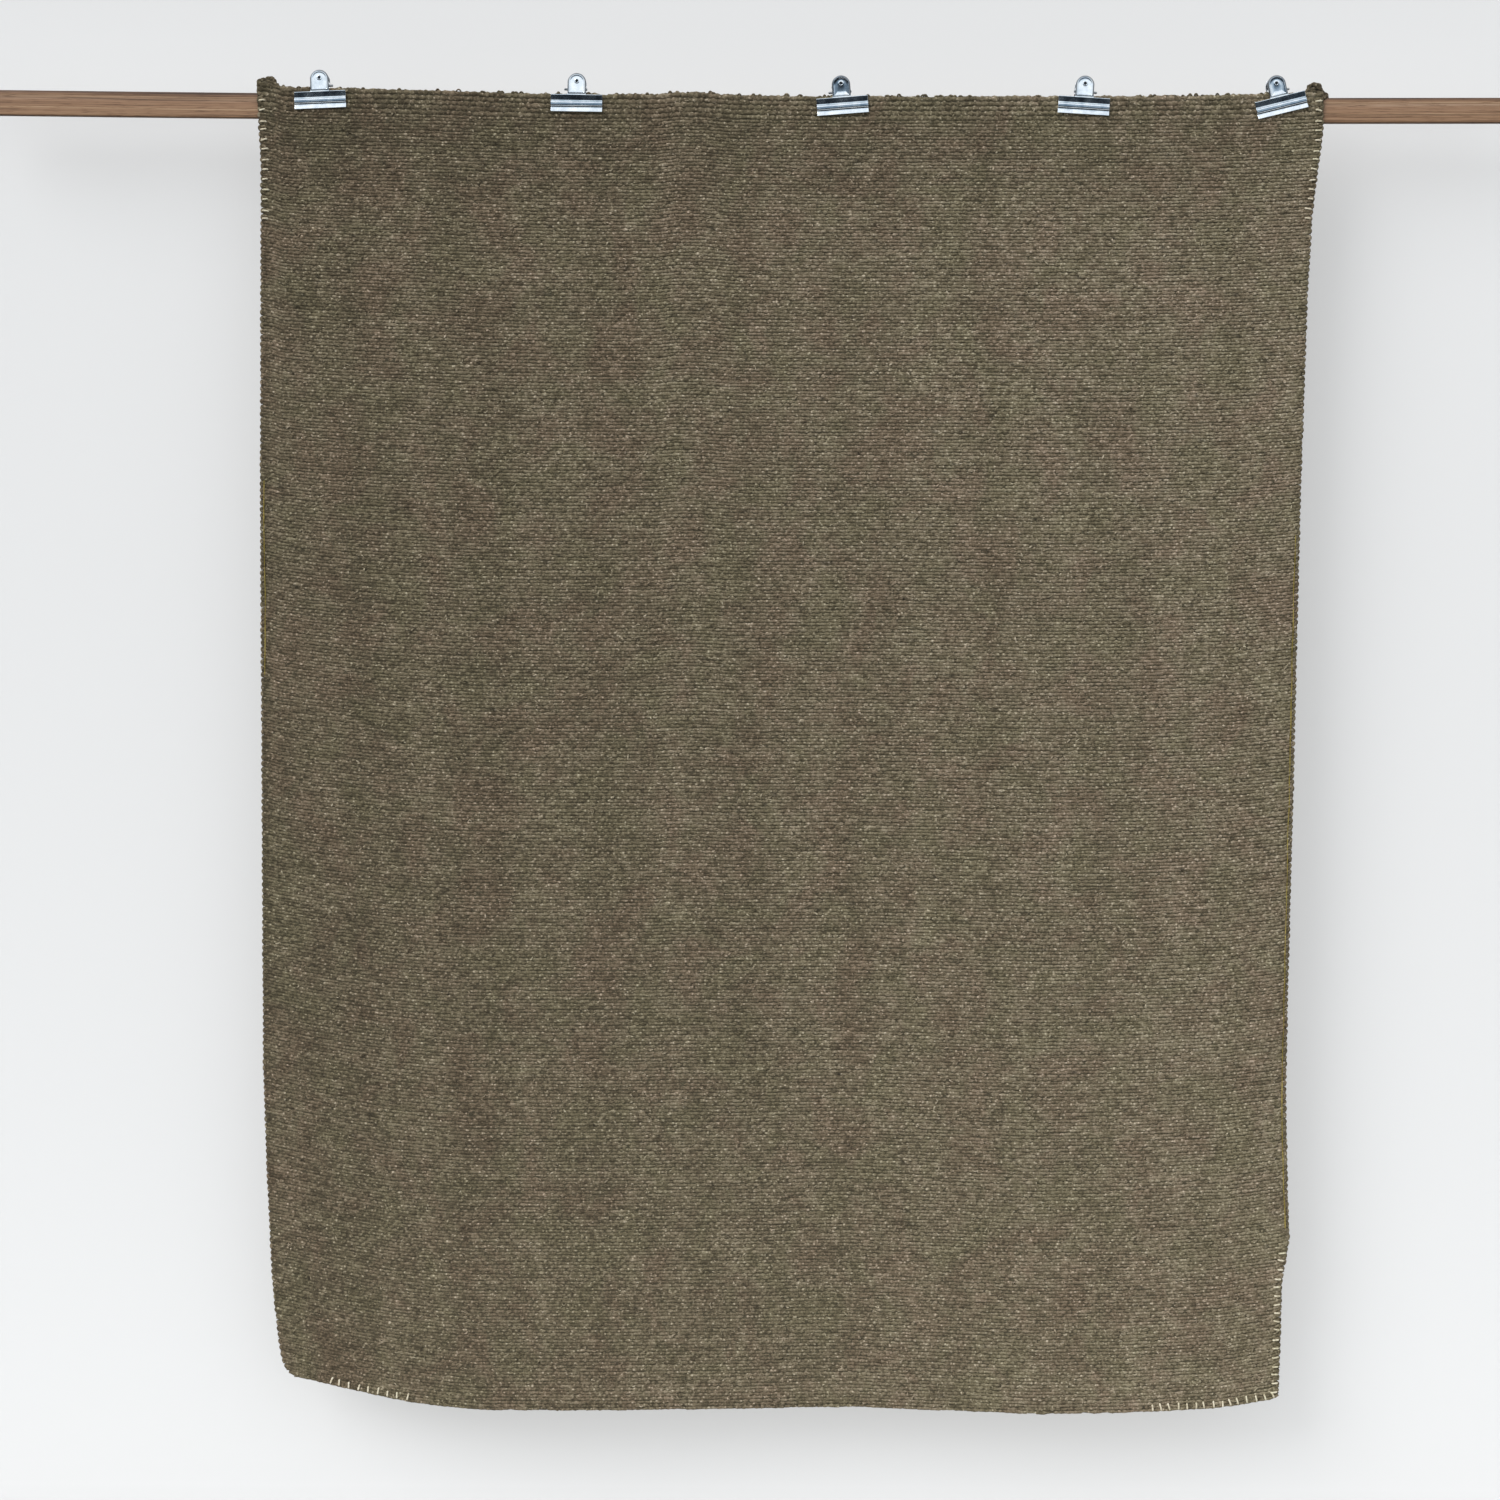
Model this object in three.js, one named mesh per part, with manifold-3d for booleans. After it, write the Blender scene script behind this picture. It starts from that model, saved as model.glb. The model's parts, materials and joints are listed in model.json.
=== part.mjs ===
// A heavy handwoven wool cloth, hung on a wooden batten by five sprung steel bulldog clips.
//
// Millimetres. +X runs along the batten to the right, +Y goes back from the cloth, +Z is up.
// The origin is at the middle of the batten's length, on its back face, halfway up its ends.

import * as THREE from 'three';
import { mergeVertices } from 'three/addons/utils/BufferGeometryUtils.js';
import Module from 'manifold-3d';

const wasm = await Module();
wasm.setup();

// Gaps
const restGap = 0.3;           // between pieces that touch on the real object
const pinClearance = 0.35;     // round the pin, in the ears and in the spring

// How finely round stretches are cut
const arcSteps = 8;            // in each arc of a drawing
const roundSteps = 12;         // round a pin, a coil or a knot
const legSteps = 6;            // round a leg of the spring
const topSteps = 12;           // along the cloth's top edge
const sideSteps = 26;          // down its right edge, and along its bottom edge
const leftSteps = 16;          // down its left edge
const weldWithin = 1e-4;       // points this close are one point
const leastMitre = 0.5;        // cosine of the sharpest half bend that is mitred in full

// Batten
const battenLength = 2100;
const battenHeight = 34;
const battenDepth = 12;
const battenSag = 4;           // how far its middle hangs below its ends
const battenSteps = 24;

// Cloth, traced clockwise from its top left corner
const clothThickness = 4;
const clothMiddle = 54.5;      // the middle of its top edge, right of the batten's middle
const clothWidth = 1451;       // along its top edge
const clothDrop = 1795;        // from its top edge to the lowest point of its bottom edge
const clothLap = 1.2;          // how far its top edge stands above the batten

// How the cloth's edges wander: [share of the drop, mm in from the top corner]
const leftInset = [[0, 0], [0.066, 7], [0.316, 8], [0.762, 16], [0.846, 22], [0.918, 32], [0.953, 38]];
const rightInset = [
  [0, 0], [0.032, 1], [0.066, 9], [0.094, 15], [0.158, 21], [0.311, 29], [0.539, 37],
  [0.69, 43], [0.767, 45], [0.84, 42], [0.879, 39], [0.912, 49], [0.987, 53],
];
// How far the bottom edge lies above its lowest point: [share of the way to the right, mm]
const bottomLift = [
  [0.009, 57], [0.022, 43], [0.07, 30], [0.13, 10], [0.19, 1], [0.47, 5],
  [0.57, 8], [0.76, 0], [0.82, 4], [0.9, 14], [0.95, 16],
];

// Blanket stitch, and the coloured warp thread inside each selvedge
const threadSize = 1;
const stitchPitch = 13.4;
const stitchBite = 8;
const topStitches = 13;        // on each edge, below its top corner
const topLeftStart = 14;       // pitches before the left edge's top end
const cornerPitch = 11.9;      // of the closer run round the bottom right corner
const cornerStitches = 32;
const cornerStart = 16.5;      // of those pitches before the right edge's bottom end
const bottomLeftStitches = 9;
const bottomLeftStart = 14.65; // pitches before the bottom edge's left end
const rightWarpTop = 0.34;     // share of the drop; it ends above the corner run
const leftWarpTop = 0.31;
const leftWarpBottom = 0.46;
const selvedgeInset = 5;
const selvedgeWarpDepth = 0.8;
const selvedgeWarpWidth = 1.6;

// Corner knots, gathered up above the cloth's top corners
const knotDepth = 15;
const leftKnot = { width: 28, height: 18, inset: 14, lift: 6 };
const rightKnot = { width: 34, height: 20, inset: 10 };

// Clip: one stamped half, seen from its end. Out is away from the clip's middle plane, and up is
// measured from the pin.
const clipWidth = 70;
const sheet = 1;               // thickness of the stamped steel
const tabWidth = 25;
const tabTop = 20.5;           // above the pin
const tabBase = -6.5;
const lean = THREE.MathUtils.degToRad(3.3);    // the tab's top leans outwards
const rimDepth = 3.5;          // of the flange turned in round the tab
const rimFoot = 3;             // the flange starts this far above the foot of the tab
const tabHole = 4;             // diameter
const tabHoleDown = 10.5;      // from the top of the tab
const footOverlap = 0.5;       // how far the neck of the jaw runs up into the tab
const cutPast = 1;             // how far a cut runs past what it cuts
const earRadius = 4;
const earTop = 5.5;            // where the ear meets the tab, above the pin
const earFoot = -3.5;
const pinDiameter = 3;
const pinProud = 5;            // past the ear, at its long end
const pinShort = 1.5;          // past the ear, at its short end
const springOuter = 7.6;       // diameter
const springEndGap = 0.5;      // from each end of the coil to the ear beside it
const springWire = 1.2;
const legTop = 10;             // above the pin, where a leg presses on its tab
const legFoot = 1;             // above the pin, where a leg leaves the coil
const legFootOut = 0.3;        // and out from the pin, as a share of the coil's diameter

// Out from the innermost bend of the jaw, and up from the pin, along the middle of the sheet
const jawBends = [[3.45, -9], [1.45, -16.8], [3.65, -19], [2.85, -23.3], [0, -25.6], [2.55, -31.5]];
const tabOut = 1.25;           // the foot of the tab, out from the innermost bend

// Where each clip grips: how far along the cloth's top edge, as a share, its tilt (right end up),
// its pin above the batten, and the side that the pin's long end is on
const clips = [
  { along: 0.059, tilt: 2.7, rise: 10.4, longEnd: 1 },
  { along: 0.3, tilt: -0.6, rise: 8.7, longEnd: -1 },
  { along: 0.548, tilt: 4.7, rise: 7.2, longEnd: -1 },
  { along: 0.776, tilt: -3.3, rise: 8.2, longEnd: 1 },
  { along: 0.957, tilt: 14, rise: 8.9, longEnd: 1 },
];

// Worked out from the sizes above
const clothLeft = clothMiddle - clothWidth / 2;
const clothBack = -battenDepth - restGap;
const clothFront = clothBack - clothThickness;
const clampedStock = -clothFront;
const clipMiddle = clothFront / 2;
const jawIn = clampedStock / 2 + restGap + sheet / 2;
const pinRadius = pinDiameter / 2;
const pinHole = pinRadius + pinClearance;
const outerEar = tabWidth / 2 - sheet / 2;
const innerEar = outerEar - sheet - restGap;
const springLength = 2 * (innerEar - sheet / 2 - springEndGap);

// Finishes
const finishes = {
  wood: { color: 0x8c7058, roughness: 0.7, metalness: 0 },
  wool: { color: 0x655d4e, roughness: 0.95, metalness: 0 },
  creamThread: { color: 0xd8cdb8, roughness: 0.9, metalness: 0 },
  ochreThread: { color: 0x8d7a45, roughness: 0.9, metalness: 0 },
  steel: { color: 0xb8c0c6, roughness: 0.3, metalness: 1 },
  springSteel: { color: 0x8f9498, roughness: 0.35, metalness: 1 },
};

function toSolid(geometry) {
  const bare = geometry.clone();
  bare.deleteAttribute('normal');
  bare.deleteAttribute('uv');
  const merged = mergeVertices(bare, weldWithin);
  return new wasm.Manifold(new wasm.Mesh({
    numProp: 3,
    vertProperties: new Float32Array(merged.attributes.position.array),
    triVerts: new Uint32Array(merged.index.array),
  }));
}

function toGeometry(solid) {
  const mesh = solid.getMesh();
  const geometry = new THREE.BufferGeometry();
  geometry.setAttribute('position', new THREE.BufferAttribute(mesh.vertProperties, 3));
  geometry.setIndex(new THREE.BufferAttribute(mesh.triVerts, 1));
  geometry.computeVertexNormals();
  return geometry;
}

function joined(geometries) {
  return geometries.map(toSolid).reduce((whole, piece) => whole.add(piece));
}

function piece(name, geometry, finish) {
  const mesh = new THREE.Mesh(geometry, new THREE.MeshStandardMaterial(finishes[finish]));
  mesh.name = name;
  return mesh;
}

// The four-sided band of one thickness that follows a line of points, with mitred bends.
function bandShape(points, thickness) {
  const sides = [1, -1].map((side) => points.map((point, i) => {
    const before = points[Math.max(i - 1, 0)];
    const after = points[Math.min(i + 1, points.length - 1)];
    const into = point.clone().sub(before);
    const out = after.clone().sub(point);
    const a = (into.length() ? into : out).clone().normalize();
    const b = (out.length() ? out : into).clone().normalize();
    const along = a.clone().add(b).normalize();
    const reach = (side * thickness) / 2 / Math.max(along.dot(a), leastMitre);
    return point.clone().add(new THREE.Vector2(-along.y, along.x).multiplyScalar(reach));
  }));
  return new THREE.Shape([...sides[0], ...sides[1].reverse()]);
}

function extruded(shape, depth) {
  return new THREE.ExtrudeGeometry(shape, { depth, bevelEnabled: false, curveSegments: arcSteps });
}

// A drawing in X and Z, given depth towards the front from the plane y = back.
function towardsFront(shape, back, depth) {
  const across = new THREE.Vector3(1, 0, 0);
  const up = new THREE.Vector3(0, 0, 1);
  const forward = new THREE.Vector3(0, -1, 0);
  const place = new THREE.Matrix4().makeBasis(across, up, forward).setPosition(0, back, 0);
  return extruded(shape, depth).applyMatrix4(place);
}

// A drawing of a clip's end, out and up, given width along the clip about x = middle.
function alongClip(shape, width, middle = 0) {
  const out = new THREE.Vector3(0, -1, 0);
  const up = new THREE.Vector3(0, 0, 1);
  const along = new THREE.Vector3(-1, 0, 0);
  const place = new THREE.Matrix4().makeBasis(out, up, along).setPosition(middle + width / 2, 0, 0);
  return extruded(shape, width).applyMatrix4(place);
}

// ---------------------------------------------------------------- batten

// The batten hangs in a parabola between its ends.
function dropOfBatten(x) {
  const share = (2 * x) / battenLength;
  return battenSag * (1 - Math.min(share * share, 1));
}

function topOfBatten(x) {
  return battenHeight / 2 - dropOfBatten(x);
}

function makeBatten() {
  const wood = new THREE.BoxGeometry(battenLength, battenDepth, battenHeight, battenSteps, 1, 1);
  wood.translate(0, -battenDepth / 2, 0);
  const place = wood.attributes.position;
  for (let i = 0; i < place.count; i += 1) {
    place.setZ(i, place.getZ(i) - dropOfBatten(place.getX(i)));
  }
  return toGeometry(toSolid(wood));
}

// ---------------------------------------------------------------- cloth

function smoothThrough(points, count) {
  const ends = points.map(([x, z]) => new THREE.Vector3(x, z, 0));
  const curve = new THREE.CatmullRomCurve3(ends, false, 'centripetal');
  return curve.getPoints(count).map((p) => new THREE.Vector2(p.x, p.y));
}

function clothOutline() {
  const clothRight = clothLeft + clothWidth;
  const rightTop = topOfBatten(clothRight) + clothLap;
  const leftTop = topOfBatten(clothLeft) + leftKnot.lift;
  const bottom = battenHeight / 2 - clothDrop;
  const right = rightInset.map(([share, inset]) => [clothRight - inset, rightTop - share * clothDrop]);
  const left = leftInset.map(([share, inset]) => [clothLeft + inset, leftTop - share * clothDrop]);
  const bottomLeft = left.at(-1);
  const bottomRight = right.at(-1);
  const bottomEdge = bottomLift.map(([share, lift]) => [
    bottomLeft[0] + share * (bottomRight[0] - bottomLeft[0]), bottom + lift,
  ]);
  const topEdge = [[clothLeft, leftTop], [clothLeft + leftKnot.width, topOfBatten(clothLeft) + 2 * clothLap]];
  for (let step = 1; step <= topSteps; step += 1) {
    const x = topEdge[1][0] + ((clothRight - topEdge[1][0]) * step) / topSteps;
    topEdge.push([x, topOfBatten(x) + clothLap]);
  }
  return {
    top: topEdge.map(([x, z]) => new THREE.Vector2(x, z)),
    right: smoothThrough(right, sideSteps),
    bottom: smoothThrough([bottomRight, ...bottomEdge.reverse(), bottomLeft], sideSteps),
    left: smoothThrough(left, leftSteps).reverse(),
  };
}

const outline = clothOutline();

function makeCloth() {
  const around = [
    ...outline.top, ...outline.right.slice(1), ...outline.bottom.slice(1), ...outline.left.slice(1, -1),
  ];
  return toGeometry(toSolid(towardsFront(new THREE.Shape(around), clothBack, clothThickness)));
}

// The part of a line of points from one distance along it to another.
function stretch(points, from, to) {
  const kept = [];
  let gone = 0;
  for (let i = 1; i < points.length; i += 1) {
    const length = points[i].distanceTo(points[i - 1]);
    const at = (distance) => points[i - 1].clone().lerp(points[i], (distance - gone) / length);
    if (from >= gone && from < gone + length) kept.push(at(from));
    if (gone + length > from && gone + length < to) kept.push(points[i].clone());
    if (to > gone && to <= gone + length) kept.push(at(to));
    gone += length;
  }
  return kept;
}

// The same line moved sideways, to the left of the way it runs.
function movedSideways(points, offset) {
  return points.map((point, i) => {
    const before = points[Math.max(i - 1, 0)];
    const after = points[Math.min(i + 1, points.length - 1)];
    const a = point.clone().sub(before).normalize();
    const b = after.clone().sub(point).normalize();
    const along = a.clone().add(b).normalize();
    const reach = offset / Math.max(along.dot(a.length() ? a : b), leastMitre);
    return point.clone().add(new THREE.Vector2(-along.y, along.x).multiplyScalar(reach));
  });
}

// A thread that runs just outside the cloth's edge, with a stitch over the front at every pitch.
// The edge is traced clockwise, so the cloth is on the right of the line.
function makeBlanketStitch(edge, start, count, pitch = stitchPitch) {
  const front = clothFront - restGap;
  const run = stretch(edge, start - threadSize, start + (count - 1) * pitch + threadSize);
  const outside = movedSideways(run, restGap + threadSize / 2);
  const depth = threadSize + restGap + clothThickness / 2;
  const parts = [towardsFront(bandShape(outside, threadSize), front - threadSize + depth, depth)];
  const reach = stitchBite + restGap + threadSize / 2;
  for (let i = 0; i < count; i += 1) {
    const at = start + i * pitch;
    const here = stretch(edge, at, at + threadSize)[0];
    const before = stretch(edge, at - threadSize, at)[0];
    const along = here.clone().sub(before).normalize();
    const inward = new THREE.Vector2(along.y, -along.x);
    const middle = here.clone().add(inward.clone().multiplyScalar(stitchBite - reach / 2));
    const stitch = new THREE.BoxGeometry(reach, threadSize, threadSize);
    stitch.rotateY(-Math.atan2(inward.y, inward.x));
    stitch.translate(middle.x, front - threadSize / 2, middle.y);
    parts.push(stitch);
  }
  return toGeometry(joined(parts));
}

function makeSelvedgeWarp(edge, from, to) {
  const line = movedSideways(stretch(edge, from, to), -selvedgeInset);
  const band = bandShape(line, selvedgeWarpWidth);
  return toGeometry(toSolid(towardsFront(band, clothFront - restGap, selvedgeWarpDepth)));
}

function makeKnot(knot, x, bottom) {
  const bunch = new THREE.SphereGeometry(1, roundSteps, arcSteps);
  bunch.scale(knot.width / 2, knotDepth / 2, knot.height / 2);
  bunch.translate(x, clipMiddle, bottom + restGap + knot.height / 2);
  return toGeometry(toSolid(bunch));
}

// ---------------------------------------------------------------- clips

// The tab's outline: straight sides from foot up to a full round top, smaller all round by inset.
function tabOutline(inset, foot) {
  const half = tabWidth / 2 - inset;
  const shoulder = tabTop - tabBase - tabWidth / 2;
  const shape = new THREE.Shape();
  shape.moveTo(half, foot);
  shape.lineTo(half, shoulder);
  shape.absarc(0, shoulder, half, 0, Math.PI, false);
  shape.lineTo(-half, foot);
  return shape;
}

function makeTab() {
  const panel = tabOutline(0, 0);
  const hole = new THREE.Path();
  hole.absarc(0, tabTop - tabBase - tabHoleDown, tabHole / 2, 0, 2 * Math.PI, true);
  panel.holes.push(hole);
  const rim = toSolid(towardsFront(tabOutline(0, rimFoot), rimDepth, rimDepth))
    .subtract(toSolid(towardsFront(tabOutline(sheet, 0), rimDepth + cutPast, rimDepth + 2 * cutPast)));
  const pan = toGeometry(toSolid(towardsFront(panel, sheet / 2, sheet)).add(rim));
  pan.rotateX(lean);
  return pan.translate(0, -(jawIn + tabOut), tabBase);
}

function makeEar(middle) {
  const shape = new THREE.Shape();
  shape.moveTo(jawIn + tabOut, earFoot);
  shape.lineTo(jawIn + tabOut + sheet / 2, earTop);
  shape.lineTo(0, earRadius);
  shape.absarc(0, 0, earRadius, Math.PI / 2, 1.5 * Math.PI, false);
  return alongClip(shape, sheet, middle);
}

// One stamped half: jaw, tab and two ears. The ears of one half fit inside those of the other.
function makeJaw(earPlace) {
  const bends = jawBends.map(([out, up]) => new THREE.Vector2(jawIn + out, up));
  const foot = [new THREE.Vector2(jawIn + tabOut, tabBase + footOverlap), bends[0]];
  const hole = new THREE.CylinderGeometry(pinHole, pinHole, clipWidth, roundSteps).rotateZ(Math.PI / 2);
  const half = joined([
    alongClip(bandShape(bends, sheet), clipWidth),
    alongClip(bandShape(foot, sheet), tabWidth),
    makeTab(),
    makeEar(earPlace),
    makeEar(-earPlace),
  ]);
  return toGeometry(half.subtract(toSolid(hole)));
}

function makePin(longEnd) {
  const past = tabWidth / 2;
  const length = 2 * past + pinProud + pinShort;
  const pin = new THREE.CylinderGeometry(pinRadius, pinRadius, length, roundSteps).rotateZ(Math.PI / 2);
  return toGeometry(toSolid(pin.translate((longEnd * (pinProud - pinShort)) / 2, 0, 0)));
}

// One leg of the spring, from the coil up to the inside of a tab.
function makeSpringLeg(side) {
  const low = new THREE.Vector3(side * (springLength / 2 - springWire), -side * springOuter * legFootOut, legFoot);
  const tabInside = jawIn + tabOut + (legTop - tabBase) * Math.tan(lean) - sheet / 2;
  const high = new THREE.Vector3(low.x, -side * (tabInside - restGap - springWire / 2), legTop);
  const way = high.clone().sub(low);
  const leg = new THREE.CylinderGeometry(springWire / 2, springWire / 2, way.length(), legSteps);
  const turn = new THREE.Quaternion().setFromUnitVectors(
    new THREE.Vector3(0, 1, 0), way.clone().normalize(),
  );
  return leg.applyQuaternion(turn).translate(...low.add(high).multiplyScalar(0.5).toArray());
}

// The coil as a sleeve round the pin, with its two legs.
function makeSpring() {
  const inner = pinHole;
  const outer = springOuter / 2;
  const end = springLength / 2;
  const profile = [[inner, -end], [outer, -end], [outer, end], [inner, end], [inner, -end]];
  const coil = new THREE.LatheGeometry(profile.map(([r, y]) => new THREE.Vector2(r, y)), roundSteps);
  return toGeometry(joined([coil.rotateZ(Math.PI / 2), makeSpringLeg(1), makeSpringLeg(-1)]));
}

function makeClip(clip, number) {
  const group = new THREE.Group();
  const rear = piece(`clip_${number}_rear_jaw`, makeJaw(innerEar), 'steel');
  rear.rotation.z = Math.PI;
  group.add(
    piece(`clip_${number}_front_jaw`, makeJaw(outerEar), 'steel'),
    rear,
    piece(`clip_${number}_pivot_pin`, makePin(clip.longEnd), 'springSteel'),
    piece(`clip_${number}_torsion_spring`, makeSpring(), 'springSteel'),
  );
  const x = clothLeft + clip.along * clothWidth;
  group.position.set(x, clipMiddle, topOfBatten(x) + clip.rise);
  group.rotation.y = -THREE.MathUtils.degToRad(clip.tilt);
  return group;
}

// ---------------------------------------------------------------- the whole

const { left, right, top, bottom } = outline;
const sideLength = new THREE.Path(right).getLength();
const bottomLength = new THREE.Path(bottom).getLength();
const leftLength = new THREE.Path(left).getLength();
const roundCorner = [...right, ...bottom.slice(1)];
const cornerRun = sideLength - cornerStart * cornerPitch;
const leftWarp = [leftLength - leftWarpBottom * clothDrop, leftLength - leftWarpTop * clothDrop];

const wallHanging = new THREE.Group();
wallHanging.add(
  piece('hanging_batten', makeBatten(), 'wood'),
  piece('woven_cloth', makeCloth(), 'wool'),
  piece('blanket_stitch_top_right', makeBlanketStitch(right, stitchPitch, topStitches), 'creamThread'),
  piece('blanket_stitch_bottom_right',
    makeBlanketStitch(roundCorner, cornerRun, cornerStitches, cornerPitch), 'creamThread'),
  piece('blanket_stitch_bottom_left',
    makeBlanketStitch(bottom, bottomLength - bottomLeftStart * stitchPitch, bottomLeftStitches), 'creamThread'),
  piece('blanket_stitch_top_left',
    makeBlanketStitch(left, leftLength - topLeftStart * stitchPitch, topStitches), 'creamThread'),
  piece('selvedge_warp_right',
    makeSelvedgeWarp(right, rightWarpTop * clothDrop, cornerRun - stitchPitch), 'ochreThread'),
  piece('selvedge_warp_left', makeSelvedgeWarp(left, ...leftWarp), 'ochreThread'),
  piece('corner_knot_left', makeKnot(leftKnot, top[0].x + leftKnot.inset, top[0].y), 'wool'),
  piece('corner_knot_right', makeKnot(rightKnot, top.at(-1).x - rightKnot.inset, top.at(-1).y), 'wool'),
  ...clips.map((clip, i) => makeClip(clip, i + 1)),
);

export default wallHanging;
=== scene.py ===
# %% [markdown]
# # A handwoven wall hanging, piece by piece
#
# The object is a heavy wool cloth, handwoven from a slubby weft yarn, clamped to a wooden batten by
# five sprung steel bulldog clips. The frame already holds every piece at its real size and place, so
# this lesson only gives each piece the surface that the real one has. Every length is in metres, with
# +X along the batten, +Y going back from the cloth, and +Z up.

# %% Load the frame
import json
import math

import bpy
import numpy as np
from mathutils import Matrix, Vector


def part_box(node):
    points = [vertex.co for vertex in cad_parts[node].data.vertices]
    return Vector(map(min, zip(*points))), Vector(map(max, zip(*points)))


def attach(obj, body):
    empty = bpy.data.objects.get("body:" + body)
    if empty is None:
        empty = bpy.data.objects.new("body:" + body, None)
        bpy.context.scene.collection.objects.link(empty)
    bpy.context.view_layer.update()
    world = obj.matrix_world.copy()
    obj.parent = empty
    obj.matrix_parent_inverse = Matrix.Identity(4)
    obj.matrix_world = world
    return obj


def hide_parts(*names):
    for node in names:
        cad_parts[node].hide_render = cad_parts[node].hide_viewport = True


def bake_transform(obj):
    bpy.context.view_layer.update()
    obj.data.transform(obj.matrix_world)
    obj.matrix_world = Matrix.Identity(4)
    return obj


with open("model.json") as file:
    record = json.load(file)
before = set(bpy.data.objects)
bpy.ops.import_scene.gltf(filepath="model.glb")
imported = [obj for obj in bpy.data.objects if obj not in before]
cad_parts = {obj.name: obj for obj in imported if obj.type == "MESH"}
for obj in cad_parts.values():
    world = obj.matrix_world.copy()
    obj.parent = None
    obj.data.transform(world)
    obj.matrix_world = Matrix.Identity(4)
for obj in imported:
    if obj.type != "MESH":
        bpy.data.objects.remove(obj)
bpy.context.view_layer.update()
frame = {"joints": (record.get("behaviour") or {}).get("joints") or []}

MM = 0.001
draw = np.random.default_rng(41)

# %% [markdown]
# ## Placing the camera
#
# A wall hanging is shown from straight in front, by a long lens that keeps its edges parallel. The
# camera looks along +Y at a point below the batten, and it is rolled by a fraction of a degree,
# because the batten was hung a little lower on its right.

# %% Camera
VIEW_WIDTH = 2.04
CAMERA_AWAY = 5.2
SENSOR = 36.0
ROLL = math.radians(0.296)
AIM_X, AIM_DOWN = 0.0045, 0.8765

cloth_low, cloth_high = (np.array(corner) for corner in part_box("woven_cloth"))
batten_low, batten_high = (np.array(corner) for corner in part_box("hanging_batten"))

camera = bpy.data.objects.new("camera", bpy.data.cameras.new("camera"))
camera.data.sensor_width = SENSOR
camera.data.lens = SENSOR * CAMERA_AWAY / VIEW_WIDTH
camera.matrix_world = (
    Matrix.Translation((AIM_X, cloth_low[1] - CAMERA_AWAY, -AIM_DOWN))
    @ Matrix.Rotation(math.radians(90), 4, "X")
    @ Matrix.Rotation(ROLL, 4, "Z")
)
bpy.context.scene.collection.objects.link(camera)
bpy.context.scene.camera = camera
print("lens", round(camera.data.lens, 1), "mm")

# %% [markdown]
# ## Meshes from arrays
#
# A strand of yarn, a bent steel sheet and a coil of wire are all the same idea: a ring of points
# carried along a path. Numpy works out all the rings of all the strands at once, so a few helpers
# turn arrays of points into closed meshes whose faces point outwards.

# %% Rings and the faces between them
def lattice(rings, loop=False, columns=1):
    """Quads that join each ring of points to the next, for an array of shapes x rings x sides points.

    Beside the faces comes a place for each of their corners on a flat map. Each shape has its own
    oblong there: the path runs along it, and the way round the ring runs across it.
    """
    count, length, sides = rings.shape[:3]
    steps = length if loop else length - 1
    grids = np.meshgrid(np.arange(steps), np.arange(sides), indexing="ij")
    ring, side = (grid.ravel() for grid in grids)
    ring_of_corner = np.stack([ring, ring, ring + 1, ring + 1], -1)
    side_of_corner = np.stack([side, side + 1, side + 1, side], -1)
    quads = (ring_of_corner % length) * sides + side_of_corner % sides
    shape = np.arange(count)[:, None, None]
    rows = -(-count // columns)
    across = (shape % columns + ring_of_corner / steps) / columns
    up = (shape // columns + side_of_corner / sides) / rows
    faces = quads + shape * length * sides
    return faces.reshape(-1, 4), np.stack([across, up], -1).reshape(-1, 4, 2)


def end_caps(rings, columns=1):
    """A flat face over the first ring and another over the last ring of every shape."""
    count, length, sides = rings.shape[:3]
    side = np.arange(sides)
    caps = np.stack([side[::-1], (length - 1) * sides + side])
    shape = np.arange(count)[:, None, None]
    rows = -(-count // columns)
    turn = 2 * np.pi * side / sides
    small = 0.01 * (1 + np.cos(turn))
    across = (shape % columns + np.stack([small, 1 - small])) / columns
    up = (shape // columns + 0.5 + 0.3 * np.sin(turn)) / rows + 0 * across
    places = np.stack([across, up], -1).reshape(-1, sides, 2)
    return (caps + shape * length * sides).reshape(-1, sides), places


def ladder_caps(rings):
    """Quads over the two ends of a flat sheet, whose ring goes along one face and back on the other."""
    length, sides = rings.shape[1:3]
    rung = np.arange(sides // 2 - 1)
    first = np.stack([rung + 1, rung, sides - 1 - rung, sides - 2 - rung], -1)
    faces = np.concatenate([first, first[:, ::-1] + (length - 1) * sides])
    share = np.stack([rung + 1, rung, rung, rung + 1], -1) / sides
    edge = np.broadcast_to([0.0, 0.0, 0.004, 0.004], share.shape)
    return faces, np.concatenate(
        [np.stack([edge, share], -1), np.stack([1 - edge, share], -1)[:, ::-1]]
    )


def volume_inside(points, face_sets):
    """The volume inside the faces: the sum of the tetrahedra that they make with the middle point."""
    points = points - points.mean(0)
    total = 0.0
    for faces, _ in face_sets:
        corners = points[faces]
        for i in range(1, faces.shape[1] - 1):
            total += (corners[:, 0] * np.cross(corners[:, i], corners[:, i + 1])).sum()
    return total / 6


def turned_out(points, face_sets):
    """A closed shell whose faces point outwards: if the volume comes out negative, all are turned."""
    points = points.reshape(-1, 3)
    if volume_inside(points, face_sets) < 0:
        face_sets = [(faces[:, ::-1], places[:, ::-1]) for faces, places in face_sets]
    return points, face_sets


def tubes(rings, columns=1):
    return turned_out(rings, [lattice(rings, columns=columns), end_caps(rings, columns)])


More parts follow.
